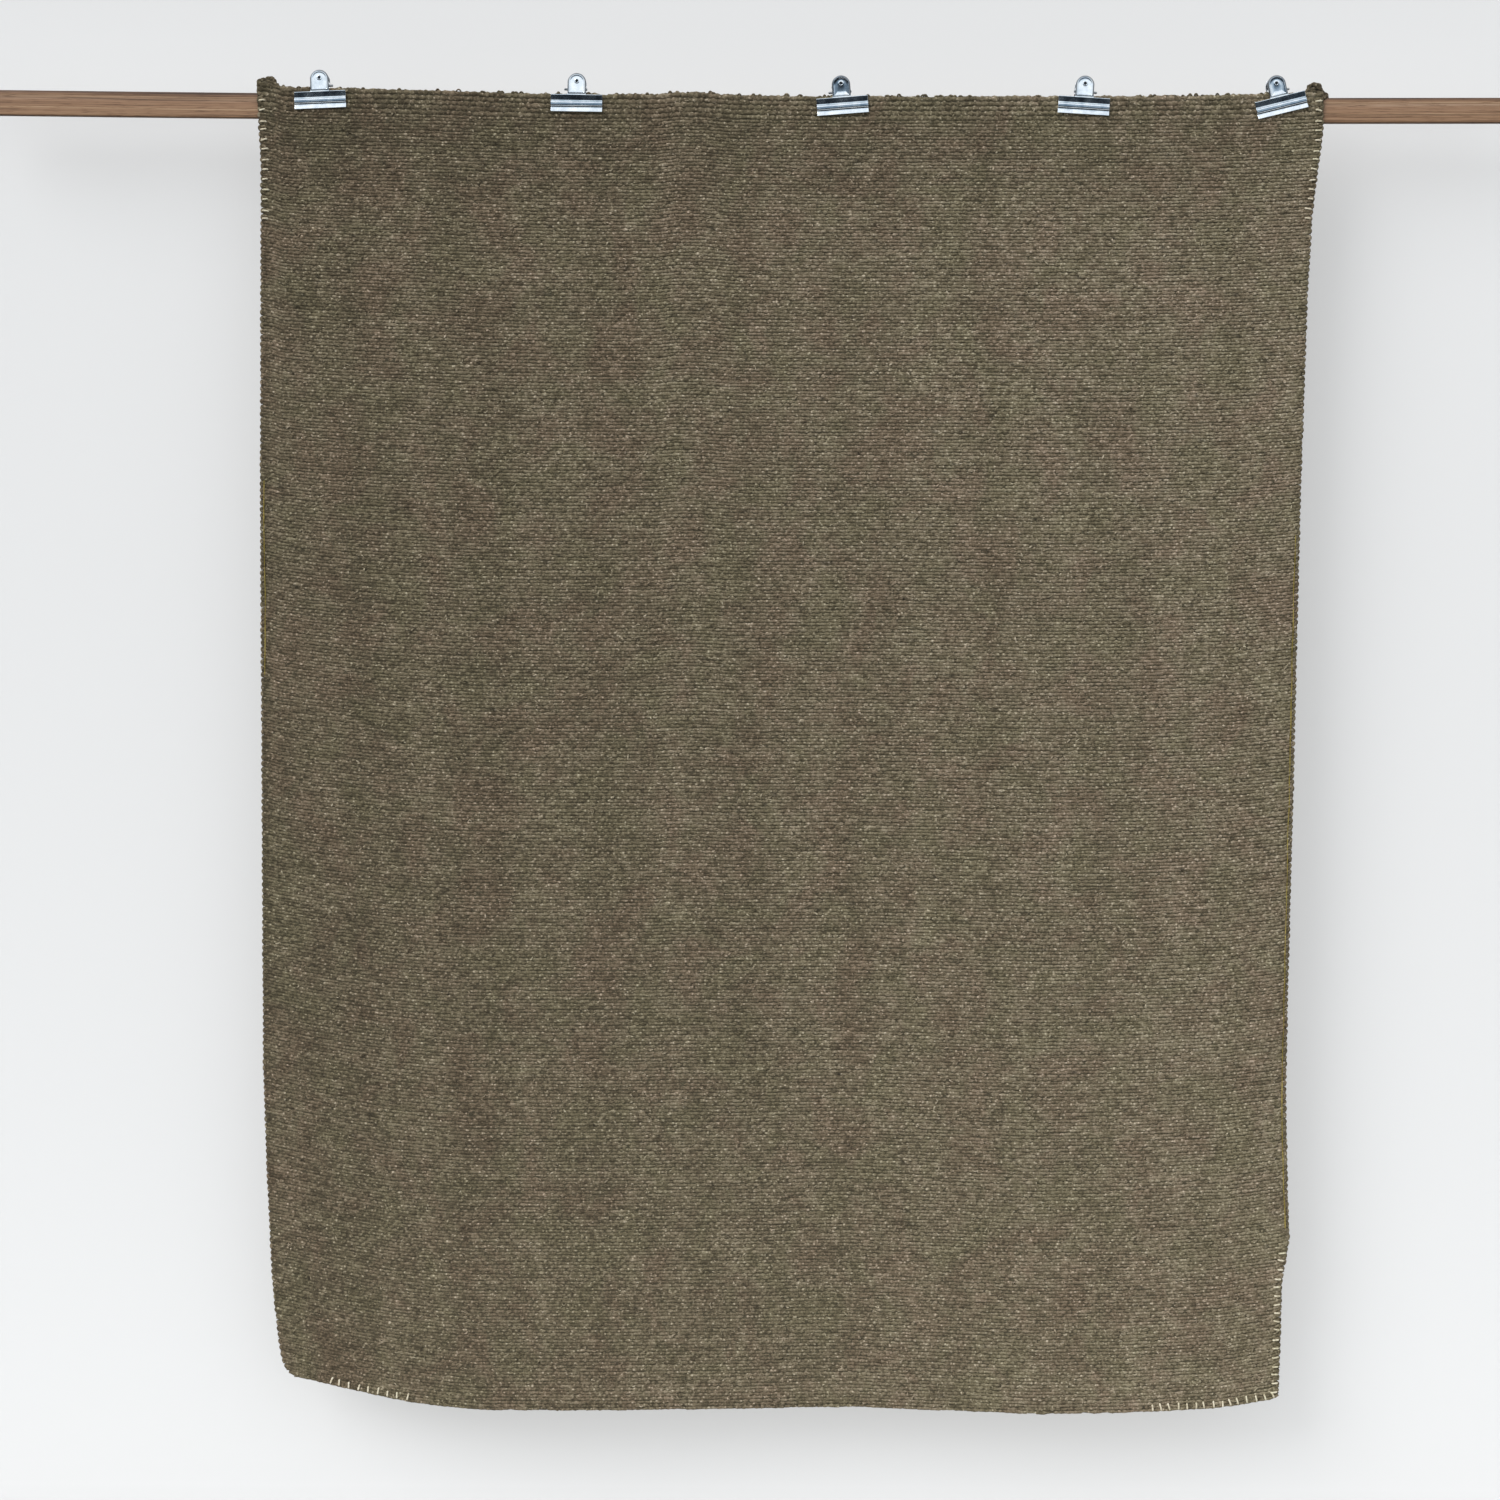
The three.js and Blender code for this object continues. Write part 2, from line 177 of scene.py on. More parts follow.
# %% Putting a mesh into the scene
def put_piece(name, shells, material, body="root", marks=None, with_map=False):
    """Makes one object from closed shells, and lets it ride on a body, unless that is None. marks are
    numbers for its points, and with_map gives it a flat map."""
    start = np.cumsum([0] + [len(points) for points, _ in shells])
    points = np.concatenate([points for points, _ in shells])
    face_sets = [
        (faces + first, places) for first, (_, sets) in zip(start, shells) for faces, places in sets
    ]
    sizes = np.concatenate([np.full(len(faces), faces.shape[1]) for faces, _ in face_sets])
    mesh = bpy.data.meshes.new(name)
    mesh.vertices.add(len(points))
    mesh.vertices.foreach_set("co", points.astype(np.float32).ravel())
    corners = np.concatenate([faces.ravel() for faces, _ in face_sets]).astype(np.int32)
    mesh.loops.add(len(corners))
    mesh.loops.foreach_set("vertex_index", corners)
    mesh.polygons.add(len(sizes))
    mesh.polygons.foreach_set("loop_start", np.cumsum(sizes) - sizes)
    mesh.polygons.foreach_set("use_smooth", np.ones(len(sizes), bool))
    for mark, values in (marks or {}).items():
        mesh.attributes.new(mark, "FLOAT", "POINT").data.foreach_set(
            "value", np.broadcast_to(values, len(points)).astype(np.float32).copy()
        )
    if with_map:
        places = np.concatenate([places.reshape(-1, 2) for _, places in face_sets])
        mesh.uv_layers.new(name="OFBake").data.foreach_set("uv", places.astype(np.float32).ravel())
    mesh.update(calc_edges=True)
    mesh.materials.append(material)
    piece = bpy.data.objects.new(name, mesh)
    bpy.context.scene.collection.objects.link(piece)
    if body:
        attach(piece, body)
    print(f"{name}: {int((sizes - 2).sum())} triangles")
    return piece


# %% Tubes along paths
def unit(vectors):
    return vectors / np.maximum(np.linalg.norm(vectors, axis=-1, keepdims=True), 1e-12)


def angles(count):
    """Equal steps round a full turn."""
    return 2 * np.pi * np.arange(count) / count


def rings_along(path, radius, sides, reference=(0, 1, 0), depth=None):
    """A ring of points round every point of every path, in an array of shapes x points x sides.

    Each ring stands square to its path, on two axes: the path's direction crossed with the reference,
    and that axis crossed with the direction again. The point is the path's, plus the first axis times
    radius times the cosine of the angle, plus the second times depth times its sine.
    """
    depth = radius if depth is None else depth
    tangent = unit(np.gradient(path, axis=1))
    first = unit(np.cross(tangent, np.broadcast_to(np.asarray(reference, float), path.shape)))
    second = np.cross(first, tangent)
    angle = angles(sides)
    return (
        path[:, :, None]
        + (radius[..., None, None] * np.cos(angle)[:, None]) * first[:, :, None]
        + (depth[..., None, None] * np.sin(angle)[:, None]) * second[:, :, None]
    )


def blurred_noise(shape, spread):
    """Random numbers with a spread of one, blurred along the last axis by a bell curve."""
    reach = int(3 * spread) + 1
    bell = np.exp(-0.5 * (np.arange(-reach, reach + 1) / spread) ** 2)
    raw = draw.standard_normal((*shape[:-1], shape[-1] + 2 * reach))
    rows = raw.reshape(-1, raw.shape[-1])
    blurred = np.array([np.convolve(row, bell, "valid") for row in rows])
    return blurred.reshape(shape) / np.sqrt((bell**2).sum())


# %% [markdown]
# ## Nodes for materials
#
# A procedural material is a small tree of nodes. One helper adds a node with its settings and its
# links, a few more name the kinds that come again and again, and one turns a colour, as a maker would
# write it down, into the linear light that the renderer works in.

# %% Material helpers
def linear(code):
    """An sRGB hex colour as linear light."""
    parts = np.array([int(code[i : i + 2], 16) for i in (1, 3, 5)]) / 255
    light = np.where(parts <= 0.04045, parts / 12.92, ((parts + 0.055) / 1.055) ** 2.4)
    return (*light.tolist(), 1.0)


def fill(tree, node, inputs):
    """Sets a node's sockets, by name or number, each to a value or to another node's output."""
    for socket, value in inputs.items():
        if isinstance(value, bpy.types.NodeSocket):
            tree.links.new(value, node.inputs[socket])
        else:
            node.inputs[socket].default_value = value


def add(tree, kind, inputs=None, stops=(), **settings):
    """Adds one node and returns its first output. stops are the places and colours of a ramp."""
    made = tree.nodes.new(kind)
    for name, value in settings.items():
        setattr(made, name, value)
    fill(tree, made, inputs or {})
    if stops:
        elements = made.color_ramp.elements
        while len(elements) < len(stops):
            elements.new(1.0)
        for element, (place, colour) in zip(elements, stops):
            element.position = place
            element.color = linear(colour)
    return made.outputs[0] if made.outputs else made


def new_material(name, roughness, metallic=0.0):
    material = bpy.data.materials.new(name)
    material.use_nodes = True
    tree = material.node_tree
    shader = tree.nodes["Principled BSDF"]
    fill(tree, shader, {"Roughness": roughness, "Metallic": metallic})
    place = tree.nodes.new("ShaderNodeTexCoord").outputs["Object"]
    return material, tree, shader, place


# %% Kinds of node that come again and again
def noise(tree, place, size, detail, roughness=0.5, distortion=0.0):
    """Smooth noise, whose lumps are about as wide as size."""
    return add(tree, "ShaderNodeTexNoise", {
        "Vector": place, "Scale": 1 / size,
        "Detail": detail, "Roughness": roughness, "Distortion": distortion,
    })


def rescaled(tree, value, span, onto):
    """Carries the numbers of one span over onto another, and holds them at its ends."""
    return add(tree, "ShaderNodeMapRange", {
        "Value": value,
        "From Min": span[0], "From Max": span[1], "To Min": onto[0], "To Max": onto[1],
    })


def calculated(tree, operation, *values):
    return add(tree, "ShaderNodeMath", dict(enumerate(values)), operation=operation)


def ramp(tree, share, *stops):
    return add(tree, "ShaderNodeValToRGB", {"Fac": share}, stops=stops)


def laid_over(tree, under, over, share=1.0, way="MULTIPLY"):
    """Mixes one colour over another."""
    mixed = add(tree, "ShaderNodeMix", {"Factor": share, "A": under, "B": over},
                data_type="RGBA", blend_type=way)
    return mixed.node.outputs["Result"]


def bump(tree, height, strength, distance, **more):
    sockets = {"Height": height, "Strength": strength, "Distance": distance, **more}
    return add(tree, "ShaderNodeBump", sockets)


def attribute(tree, name):
    """A number that is stored at each point of the mesh."""
    return add(tree, "ShaderNodeAttribute", attribute_name=name).node.outputs["Fac"]


# %% [markdown]
# ## Wool yarn
#
# The weft is a soft singles yarn, spun unevenly from undyed and dyed wool, so its colour drifts from
# olive to taupe along its length, and each course differs a little from its neighbours. That drift is
# an attribute called tone, made with the strands. The nodes only add what is finer than a strand: the
# speckle of mixed fibres, 2 to 3 mm long, pale coarse kemps that took no dye, one to every 6 mm or so,
# and the matt, hairy surface of wool, which a high roughness and a little sheen give. Real kemps are
# thinner than half a millimetre, and are drawn coarser here so that they can be seen.

# %% Wool material
def wool(name, colours, tint="#ffffff", speckle=0.3, kemp=0.0):
    """colours go from the darkest tone to the lightest, and tint is laid over patches of them. speckle
    and kemp are how far the mixed fibres and the pale kemps shift the tone."""
    material, tree, shader, place = new_material(name, 0.95)
    flecks = rescaled(tree, noise(tree, place, 3 * MM, 3.0, 0.7), (0.25, 0.75), (-speckle, speckle))
    patches = rescaled(tree, noise(tree, place, 45 * MM, 3.0, 0.6), (0.3, 0.7), (-0.03, 0.03))
    kemps = add(tree, "ShaderNodeTexVoronoi",
                {"Vector": place, "Scale": 1 / (6 * MM), "Randomness": 1.0})
    kemps = rescaled(tree, kemps, (0.12, 0.3), (kemp, 0.0))
    shift = calculated(tree, "ADD", calculated(tree, "ADD", flecks, patches), kemps)
    tone = calculated(tree, "ADD", attribute(tree, "tone"), shift)
    colour = ramp(tree, tone, *zip((0.0, 0.3, 0.5, 0.7, 1.0), colours))
    hues = noise(tree, place, 75 * MM, 5.0, 0.66, distortion=0.5)
    tints = ramp(tree, hues, (0.38, tint), (0.5, "#ffffff"), (0.62, "#f9fdf7"))
    fibres = noise(tree, place, 1.6 * MM, 3.0, 0.7)
    fill(tree, shader, {
        "Base Color": laid_over(tree, colour, tints),
        "Normal": bump(tree, fibres, 0.5, 0.9 * MM),
        "Specular IOR Level": 0.25,
        "Sheen Weight": 0.12,
        "Sheen Roughness": 0.6,
        "Sheen Tint": linear("#c9bfa8"),
    })
    return material


olive_wool = wool("handspun olive wool", ("#332c21", "#544b3a", "#756a55", "#918570", "#bdb09a"),
                  tint="#fdf5f7", kemp=0.4)
# The warp and ground are darker than the weft: partly the warp's own colour, partly painted shade,
# since this sheet shows only in the gaps between the courses, where shade falls.
ground_wool = wool("warp and ground wool", ("#2c281d", "#383226", "#484133", "#56503e", "#6a614d"))
cream_wool = wool("cream blanket stitch yarn", ("#8f8169", "#b8aa90", "#d6cbb3", "#e6dcc8", "#f3ecdc"),
                  speckle=0.15)
ochre_wool = wool("ochre selvedge yarn", ("#5a4d24", "#75662f", "#8b7a3f", "#a08f52", "#b8a76a"))

# %% [markdown]
# ## The lie of the cloth
#
# A handwoven cloth is never a true rectangle. Its width drifts with the weaver's pull, its bottom
# left corner is rounded, and it falls from the clips in slow, shallow waves that grow towards its
# free end. One function says where any point of the cloth is: u goes from the left edge to the right,
# v from the top edge to the bottom. Everything that is woven or sewn asks it for its place.

# %% Where the cloth lies
BATTEN_SAG = 4 * MM
# The lap of the cloth over the batten's top edge, from the left corner to the right one.
LAP_PLACES = (
    -671, -645, -636, -600, -530, -430, -340, -264, -125, -100,
    -65, -20, 90, 144, 185, 520, 640, 732, 780,
)
LAPS = (15, 12, 8.1, 6.8, 6.0, 5.3, 2.6, 1.1, 1.6, 4.6, 4.4, 1.2, 0.2, 0.0, 0.7, 1.6, 3.0, 5.8, 8)
# How far each edge is drawn in from the widest place, at shares of the way down.
LEFT_SHARES = (0, 0.066, 0.316, 0.762, 0.846, 0.918, 0.9405, 0.9662, 0.9903, 0.9966, 1.0)
LEFT_INSETS = (0, 7, 8, 16, 22, 29, 32.5, 37.2, 44.7, 53, 64)
RIGHT_SHARES = (0, 0.032, 0.066, 0.094, 0.158, 0.311, 0.539, 0.69, 0.767, 0.84, 0.879, 0.912, 1.0)
RIGHT_INSETS = (0, 1, 9, 15, 21, 29, 37, 43, 45, 42, 39, 49, 53)
# How far the bottom edge is lifted from its lowest place, at shares of the way across.
LIFT_SHARES = (0, 0.026, 0.049, 0.088, 0.121, 0.166, 0.2, 0.47, 0.57, 0.76, 0.849, 0.94, 0.992, 1.0)
LIFTS = (46, 38.3, 30, 18.7, 10.7, 4.3, 1.5, 5, 8, 0, 3, 10, 20.8, 26)

# The waves across it: height in mm, length and place in metres, slant in radians a metre, and phase.
WAVES = ((4.6, 0.74, -0.04, 0.5, 0.0), (2.2, 0.43, 0.21, -0.9, 1.0), (1.1, 0.19, 0.0, 1.7, 0.0))
WAVES_FROM, WAVES_GROW = 0.03, 1.4
CREASE_X, CREASE_FROM, CREASE_DEPTH = 47 * MM, 1.25, 2.4

cloth_left, cloth_right = cloth_low[0], cloth_high[0]
cloth_plane = (cloth_low[1] + cloth_high[1]) / 2 - 0.2 * MM
cloth_drop = cloth_high[2] - cloth_low[2] - 4 * MM
batten_half, batten_top = batten_high[0], batten_high[2]


def batten_drop(x):
    """The batten hangs in a parabola: nothing at its ends, BATTEN_SAG in the middle."""
    return BATTEN_SAG * (1 - np.clip(x / batten_half, -1, 1) ** 2)


def top_edge(x):
    """The batten's top edge plus the lap of the cloth, which is drawn up to the knots at its ends."""
    return batten_top - batten_drop(x) + MM * np.interp(x / MM, LAP_PLACES, LAPS)


def crease(x, z, width, fade):
    """Where the cloth was once folded: a bell curve of the given width in x, which begins at
    CREASE_FROM below the batten and grows to one over the length of the fade."""
    return np.exp(-(((x - CREASE_X) / width) ** 2)) * np.clip((-z - CREASE_FROM) / fade, 0, 1)


def drape(x, z):
    """How far the cloth stands back from the plane where it is clamped: three waves across it, the
    longest the highest, which grow from nothing at the batten to their full height near the end, and
    one narrow crease, which stands forwards."""
    fall = np.clip((-z - WAVES_FROM) / WAVES_GROW, 0, 1)
    waves = sum(
        height * np.cos(2 * np.pi * (x + place) / length + slant * z + phase)
        for height, length, place, slant, phase in WAVES
    )
    return MM * (fall * fall * (3 - 2 * fall) * waves - CREASE_DEPTH * crease(x, z, 8 * MM, 0.3))


def side_edges(v):
    """Where the left and the right edge are, at v down."""
    left = cloth_left + MM * np.interp(v, LEFT_SHARES, LEFT_INSETS)
    right = cloth_right - MM * np.interp(v, RIGHT_SHARES, RIGHT_INSETS)
    return left, right


def on_cloth(u, v):
    """The middle of the cloth's thickness at u across and v down: a blend of the left edge with the
    right one, and of the top edge with the bottom one, set back by the drape."""
    left, right = side_edges(v)
    x = left + u * (right - left)
    top = top_edge(x)
    bottom = cloth_low[2] + MM * np.interp(u, LIFT_SHARES, LIFTS)
    z = top + v * (bottom - top)
    return np.stack([x, cloth_plane + drape(x, z), z], -1)


print("the cloth hangs", np.round(cloth_high - cloth_low, 3), "m")

# %% [markdown]
# ## The woven ground
#
# Under the thick weft lies the warp, a sheet of thin, tight threads that never show. It is made as one
# thin closed sheet that follows the lie of the cloth, with one face in front, one behind and a narrow
# edge all round. What is woven and sewn into it goes with it.

# %% The ground sheet
GROUND_HALF = 0.8 * MM
u, v = np.meshgrid(np.linspace(0.0015, 0.9985, 120), np.linspace(0.0012, 0.9988, 160))
middle = on_cloth(u, v)
half = np.array([0, GROUND_HALF, 0])
rings = np.concatenate([middle - half, middle[:, ::-1] + half], axis=1)[None]
ground = put_piece(
    "woven_ground", [turned_out(rings, [lattice(rings), ladder_caps(rings)])],
    ground_wool, marks={"tone": 0.5}, with_map=True,
)
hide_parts("woven_cloth")


def woollen(name, shells, tone):
    """A piece of what is woven into the ground, in the olive wool."""
    return put_piece(name, shells, olive_wool, marks={"tone": tone}, with_map=True)


# %% [markdown]
# ## The weft
#
# The weft is beaten down so hard that it hides the warp. Each course is one strand that lies over one
# warp thread and under the next, so it swells forwards and backwards by turns, and its neighbours
# swell the other way. Handspun yarn is also thick and thin by a quarter of its width. The first five
# courses are heavier cords that stiffen the heading. A strand is a real tube here, not a bump on a
# flat sheet, so the cloth keeps its edge, its thickness and its back.

# %% Weft courses
HEADING_CORDS = 5
HEADING_PITCH = 6.6 * MM
WEFT_PITCH = 4.4 * MM
WEFT_DEPTH = 1.9 * MM
STEPS_ACROSS = 316
STRAND_SIDES = 5
COURSES_IN_PIECE = 58
# A strand is a little wider than its pitch, so that it presses on its neighbours, and it stands
# forwards and back by turns, in mm.
HALF_WIDTH = 0.57
HEADING_SWELL, WEFT_SWELL = 0.42, 0.34

heading_drop = HEADING_CORDS * HEADING_PITCH
heading = (np.arange(HEADING_CORDS) + 0.5) * HEADING_PITCH
body_count = int((cloth_drop - heading_drop) / WEFT_PITCH)
body = heading_drop + (np.arange(body_count) + 0.5) * (cloth_drop - heading_drop) / body_count
course_down = np.concatenate([heading, body]) / cloth_drop
courses = len(course_down)
is_heading = (np.arange(courses) < HEADING_CORDS)[:, None]
size = (courses, STEPS_ACROSS)

# Handspun yarn wanders from its place, across, out and down, and from its size: each is blurred noise.
u = np.linspace(0, 1, STEPS_ACROSS) + 0.28 / (STEPS_ACROSS - 1) * draw.standard_normal(size)
u[:, 0], u[:, -1] = 0, 1
weft_path = on_cloth(u, np.broadcast_to(course_down[:, None], size))
over_under = np.where((np.arange(STEPS_ACROSS) + np.arange(courses)[:, None]) % 2, 1.0, -1.0)
swell = np.where(is_heading, HEADING_SWELL, WEFT_SWELL) * over_under
swollen = swell * (1 + 0.6 * blurred_noise(size, 0.8))
weft_path[..., 1] += MM * (swollen + 0.2 * blurred_noise(size, 0.7))
weft_path[..., 2] += MM * (0.24 * blurred_noise(size, 0.8) + 0.08 * blurred_noise(size, 8))
thickness = 1 + 0.12 * blurred_noise(size, 0.7) + 0.03 * blurred_noise(size, 8) - 0.3 * swell
half_width = HALF_WIDTH * np.where(is_heading, HEADING_PITCH, WEFT_PITCH) * np.clip(thickness, 0.7, 1.4)
depth = np.where(is_heading, 1.12, 1.0) * WEFT_DEPTH * (1 + 0.1 * blurred_noise(size, 0.8))
weft_rings = rings_along(weft_path, half_width, STRAND_SIDES, depth=depth)


# %% The tone of the yarn
def yarn_tone(count, steps):
    """One long yarn goes to and fro, so its slow drift in colour is a single run of noise that is
    folded back at each turn, with faster changes and a small step from course to course."""
    run = 0.008 * blurred_noise((count * steps,), 400) + 0.008 * blurred_noise((count * steps,), 40)
    folded = run.reshape(count, steps)
    folded[1::2] = folded[1::2, ::-1].copy()
    steady = 0.004 * draw.standard_normal((count, 1))
    quick = 0.007 * blurred_noise((count, steps), 4) + 0.065 * blurred_noise((count, steps), 0.5)
    return folded + steady + quick


BASE_TONE = 0.473
SIDE_BAND = 15 * MM


def tone_with_painted_light(x, z):
    """The tone of the cloth at a place, with painted light and shade in it: a straight slope across, a
    painted light that makes the right brighter than the left, and a slope down that makes it darker
    towards the bottom; a step down near the heading, darker along the top; two waves across that wander
    a little on their way down, painted shade of the cloth's slow waves; a narrow dark line along the
    old fold, painted shade in its crease; and a darker band down each side."""
    # Painted light, brighter towards the right; and a slope that is darker towards the bottom.
    slope = 0.15 * (x - 0.05) / (cloth_right - cloth_left) + 0.035 * (z + 0.9)
    heading = 0.08 * np.clip(1 + (z + 0.03) / 0.14, 0, 1)
    # Painted shade of the cloth's slow waves, in streaks down it.
    broad = 0.016 * np.sin(2 * np.pi * x / 0.171 + 1.3 * np.sin(1.9 * z))
    narrow = 0.01 * np.sin(2 * np.pi * x / 0.067 + 2 * z)
    # Painted shade in the crease.
    fold = 0.07 * crease(x, z, 4 * MM, 0.12)
    left, right = side_edges(np.clip(-z / cloth_drop, 0, 1))
    darker_sides = 0.1 * np.clip(1 - np.minimum(x - left, right - x) / SIDE_BAND, 0, 1)
    return BASE_TONE + slope - heading + broad + narrow - fold - darker_sides


# %% Weft pieces
# Painted shade and light: each strand is darker where it dips back under a warp thread and lighter
# where it swells forwards over one, and the cloth's tone at each place brings its painted light and
# shade.
weft_tone = yarn_tone(courses, STEPS_ACROSS) - 0.03 * over_under
weft_tone += tone_with_painted_light(weft_path[..., 0], weft_path[..., 2])
weft = []
for first in range(0, courses, COURSES_IN_PIECE):
    rows = slice(first, first + COURSES_IN_PIECE)
    tone = np.repeat(weft_tone[rows].ravel(), STRAND_SIDES)
    weft.append(woollen(f"weft_courses_{len(weft) + 1}", [tubes(weft_rings[rows])], tone))
print(courses, "courses of weft")

# %% [markdown]
# ## The turns at the selvedge
#
# At the end of a course the weft goes round the last warp thread and comes back as the next course.
# Each turn is half a circle as wide as the pitch. They alternate, so each selvedge has a turn for
# every second pair of courses.

# %% Selvedge turns
TURN_RINGS, TURN_SIDES = 8, 6
TURN_RADIUS = 1.7 * MM
TURN_OUT, TURN_SUNK = 1.5 * MM, 1.6 * MM


def selvedge_turns(first, edge, outwards):
    """Half circles from course k to course k + 1, for every second k: the middle of the two ends,
    plus outwards times the sine of the angle, plus half of the way between them times its cosine."""
    upper = weft_path[first:-1:2, edge]
    lower = weft_path[first + 1 :: 2, edge][: len(upper)]
    angle = np.linspace(0, np.pi, TURN_RINGS)
    centre, half = (upper + lower) / 2, (upper - lower) / 2
    out = outwards * (TURN_OUT * np.sin(angle) - TURN_SUNK)
    path = centre[:, None] + half[:, None] * np.cos(angle)[:, None] + out[:, None] * np.array([1, 0, 0])
    radius = TURN_RADIUS * (1 + 0.15 * draw.standard_normal((len(path), 1)))
    return rings_along(path, np.broadcast_to(radius, path.shape[:2]), TURN_SIDES)


right_turns = selvedge_turns(0, -1, 1)
left_turns = selvedge_turns(1, 0, -1)
turns = [
    woollen(name, [tubes(rings, columns=8)],
            np.repeat(0.38 + 0.08 * draw.standard_normal(len(rings)), TURN_RINGS * TURN_SIDES))
    for name, rings in (("right_selvedge_turns", right_turns), ("left_selvedge_turns", left_turns))
]

# %% [markdown]
# ## Nubs in the yarn
#
# A slubby yarn has short soft lumps where the spinner's fingers let too many fibres through. They
# stand on the cloth as little curls, lighter or darker than the yarn around them. Each is a short
# bent tube of a few dozen faces, whose two ends sink into the cloth.

# %% Nubs
NUB_RINGS, NUB_SIDES = 5, 5
NUB_COUNT = {"front": 6000, "back": 2000}
NUBS_IN_PIECE = 3000
CLIP_HALF = 35 * MM
# No nub stands higher than this: on the front where a clip presses, on the back along the batten.
UNDER_CLIP, UNDER_BATTEN = -16 * MM, -20 * MM
clip_places = [np.array(joint["pos_m"]) for joint in frame["joints"]]


def nubs(side, count):
    """Arcs that rise off one face of the cloth: each point is the nub's place, plus the share along
    it from -1 to 1 times its half length, a bow of 1 - share squared, and a dip of share squared."""
    u, v = draw.uniform(0.004, 0.996, count), draw.uniform(0.004, 0.997, count)
    place = on_cloth(u, v)
    hidden = place[:, 2] > UNDER_BATTEN
    if side == "front":
        near = [np.abs(place[:, 0] - clip[0]) < CLIP_HALF + 6 * MM for clip in clip_places]
        hidden = np.any(near, axis=0) & (place[:, 2] > UNDER_CLIP)
    place = place[~hidden]
    count = len(place)
    share = np.linspace(-1, 1, NUB_RINGS)[None]
    half = MM * draw.uniform(1.4, 3.4, (count, 1))
    slant = draw.normal(0, 0.7, (count, 1))
    bow = MM * draw.normal(0, 1.3, (count, 1))
    radius = MM * draw.uniform(0.7, 1.35, (count, 1))
    away = -1 if side == "front" else 1
    path = np.repeat(place[:, None], NUB_RINGS, 1)
    path[..., 0] += half * share * np.cos(slant)
    path[..., 2] += half * share * np.sin(slant) + bow * (1 - share**2)
    path[..., 1] += away * (WEFT_DEPTH + 0.1 * MM - 1.5 * MM * share**2)
    rings = rings_along(path, radius * (1 - 0.45 * share**2), NUB_SIDES)
    # The nubs take the cloth's tone at their place, with its painted light and shade.
    steady = tone_with_painted_light(place[:, :1], place[:, 2:]) + 0.1 + 0.12 * draw.standard_normal((count, 1))
    tone = steady + 0.03 * draw.standard_normal((count, NUB_RINGS))
    return rings, np.repeat(tone[..., None], NUB_SIDES, -1)


for side, count in NUB_COUNT.items():
    rings, tone = nubs(side, count)
    pieces = max(1, count // NUBS_IN_PIECE)
    for part, rows in enumerate(np.array_split(np.arange(len(rings)), pieces)):
        shell = tubes(rings[rows], columns=64)
        woollen(f"{side}_nubs_{part + 1}", [shell], tone[rows].ravel())

# %% [markdown]
# ## Warp ends along the top
#
# The warp was cut from the loom and its ends were darned back into the heading. Each left a small
# knuckle standing up from the top edge, one every 10 to 30 mm, so the edge is never a clean line.

# %% Knuckles of warp
KNUCKLES, KNUCKLE_RINGS, KNUCKLE_SIDES = 95, 7, 6


def knuckles(count):
    """Short arcs that stand on the top edge: across runs from -1 to 1 times the half width, and up
    falls off with the square of that share."""
    x = np.sort(draw.uniform(cloth_left + 4 * MM, cloth_right - 4 * MM, count))
    share = np.linspace(-1, 1, KNUCKLE_RINGS)[None]
    half = MM * draw.uniform(1.6, 3.4, (count, 1))
    tall = MM * draw.uniform(0.4, 3.0, (count, 1))
    path = np.stack([
        x[:, None] + half * share,
        np.full((count, KNUCKLE_RINGS), cloth_plane) + MM * draw.normal(0, 0.5, (count, 1)),
        top_edge(x)[:, None] - 0.6 * MM + tall * (1 - share**2),
    ], -1)
    radius = MM * draw.uniform(1.0, 1.7, (count, 1)) * (1 - 0.2 * share**2)
    return rings_along(path, radius, KNUCKLE_SIDES)


knuckle_rings = knuckles(KNUCKLES)
knuckle_piece = woollen(
    "top_edge_knuckles", [tubes(knuckle_rings, columns=8)],
    np.repeat(0.3 + 0.08 * draw.standard_normal(KNUCKLES), KNUCKLE_RINGS * KNUCKLE_SIDES),
)

# %% [markdown]
# ## The ochre warp at the selvedge
#
# Close to each side, a few centimetres of the selvedge show a warp thread that was mended with ochre
# yarn. It floats over one course and dips under the next, so it reads as a broken line.

# %% Ochre selvedge warps
def selvedge_warp(node, edge, inwards):
    """A thread down the cloth, a fixed way in from its edge, whose height over the face of the cloth
    is a wave with one crest for every two courses."""
    low, high = (np.array(corner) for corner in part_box(node))
    top, bottom = -high[2] / cloth_drop, -low[2] / cloth_drop
    steps = int((high[2] - low[2]) / (1.5 * MM))
    v = np.linspace(top, bottom, steps) + (batten_top / cloth_drop)
    path = on_cloth(float(edge), v)
    path[:, 0] += inwards * (5 * MM + MM * 0.5 * blurred_noise((steps,), 12))
    wave = np.cos(2 * np.pi * (v * cloth_drop) / (2 * WEFT_PITCH)) + 0.4 * blurred_noise((steps,), 3)
    path[:, 1] -= WEFT_DEPTH + MM * (0.35 * wave - 0.05)
    radius = MM * 0.8 * (1 + 0.15 * blurred_noise((steps,), 2))
    return rings_along(path[None], radius[None], 6, reference=(1, 0, 0))


for node, edge, inwards in (("selvedge_warp_right", 1, -1), ("selvedge_warp_left", 0, 1)):
    rings = selvedge_warp(node, edge, inwards)
    tone = 0.45 + 0.1 * np.repeat(blurred_noise((rings.shape[1],), 5), 6)
    piece = put_piece(node.replace("warp", "thread"), [tubes(rings)], ochre_wool,
                      marks={"tone": tone})
    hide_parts(node)

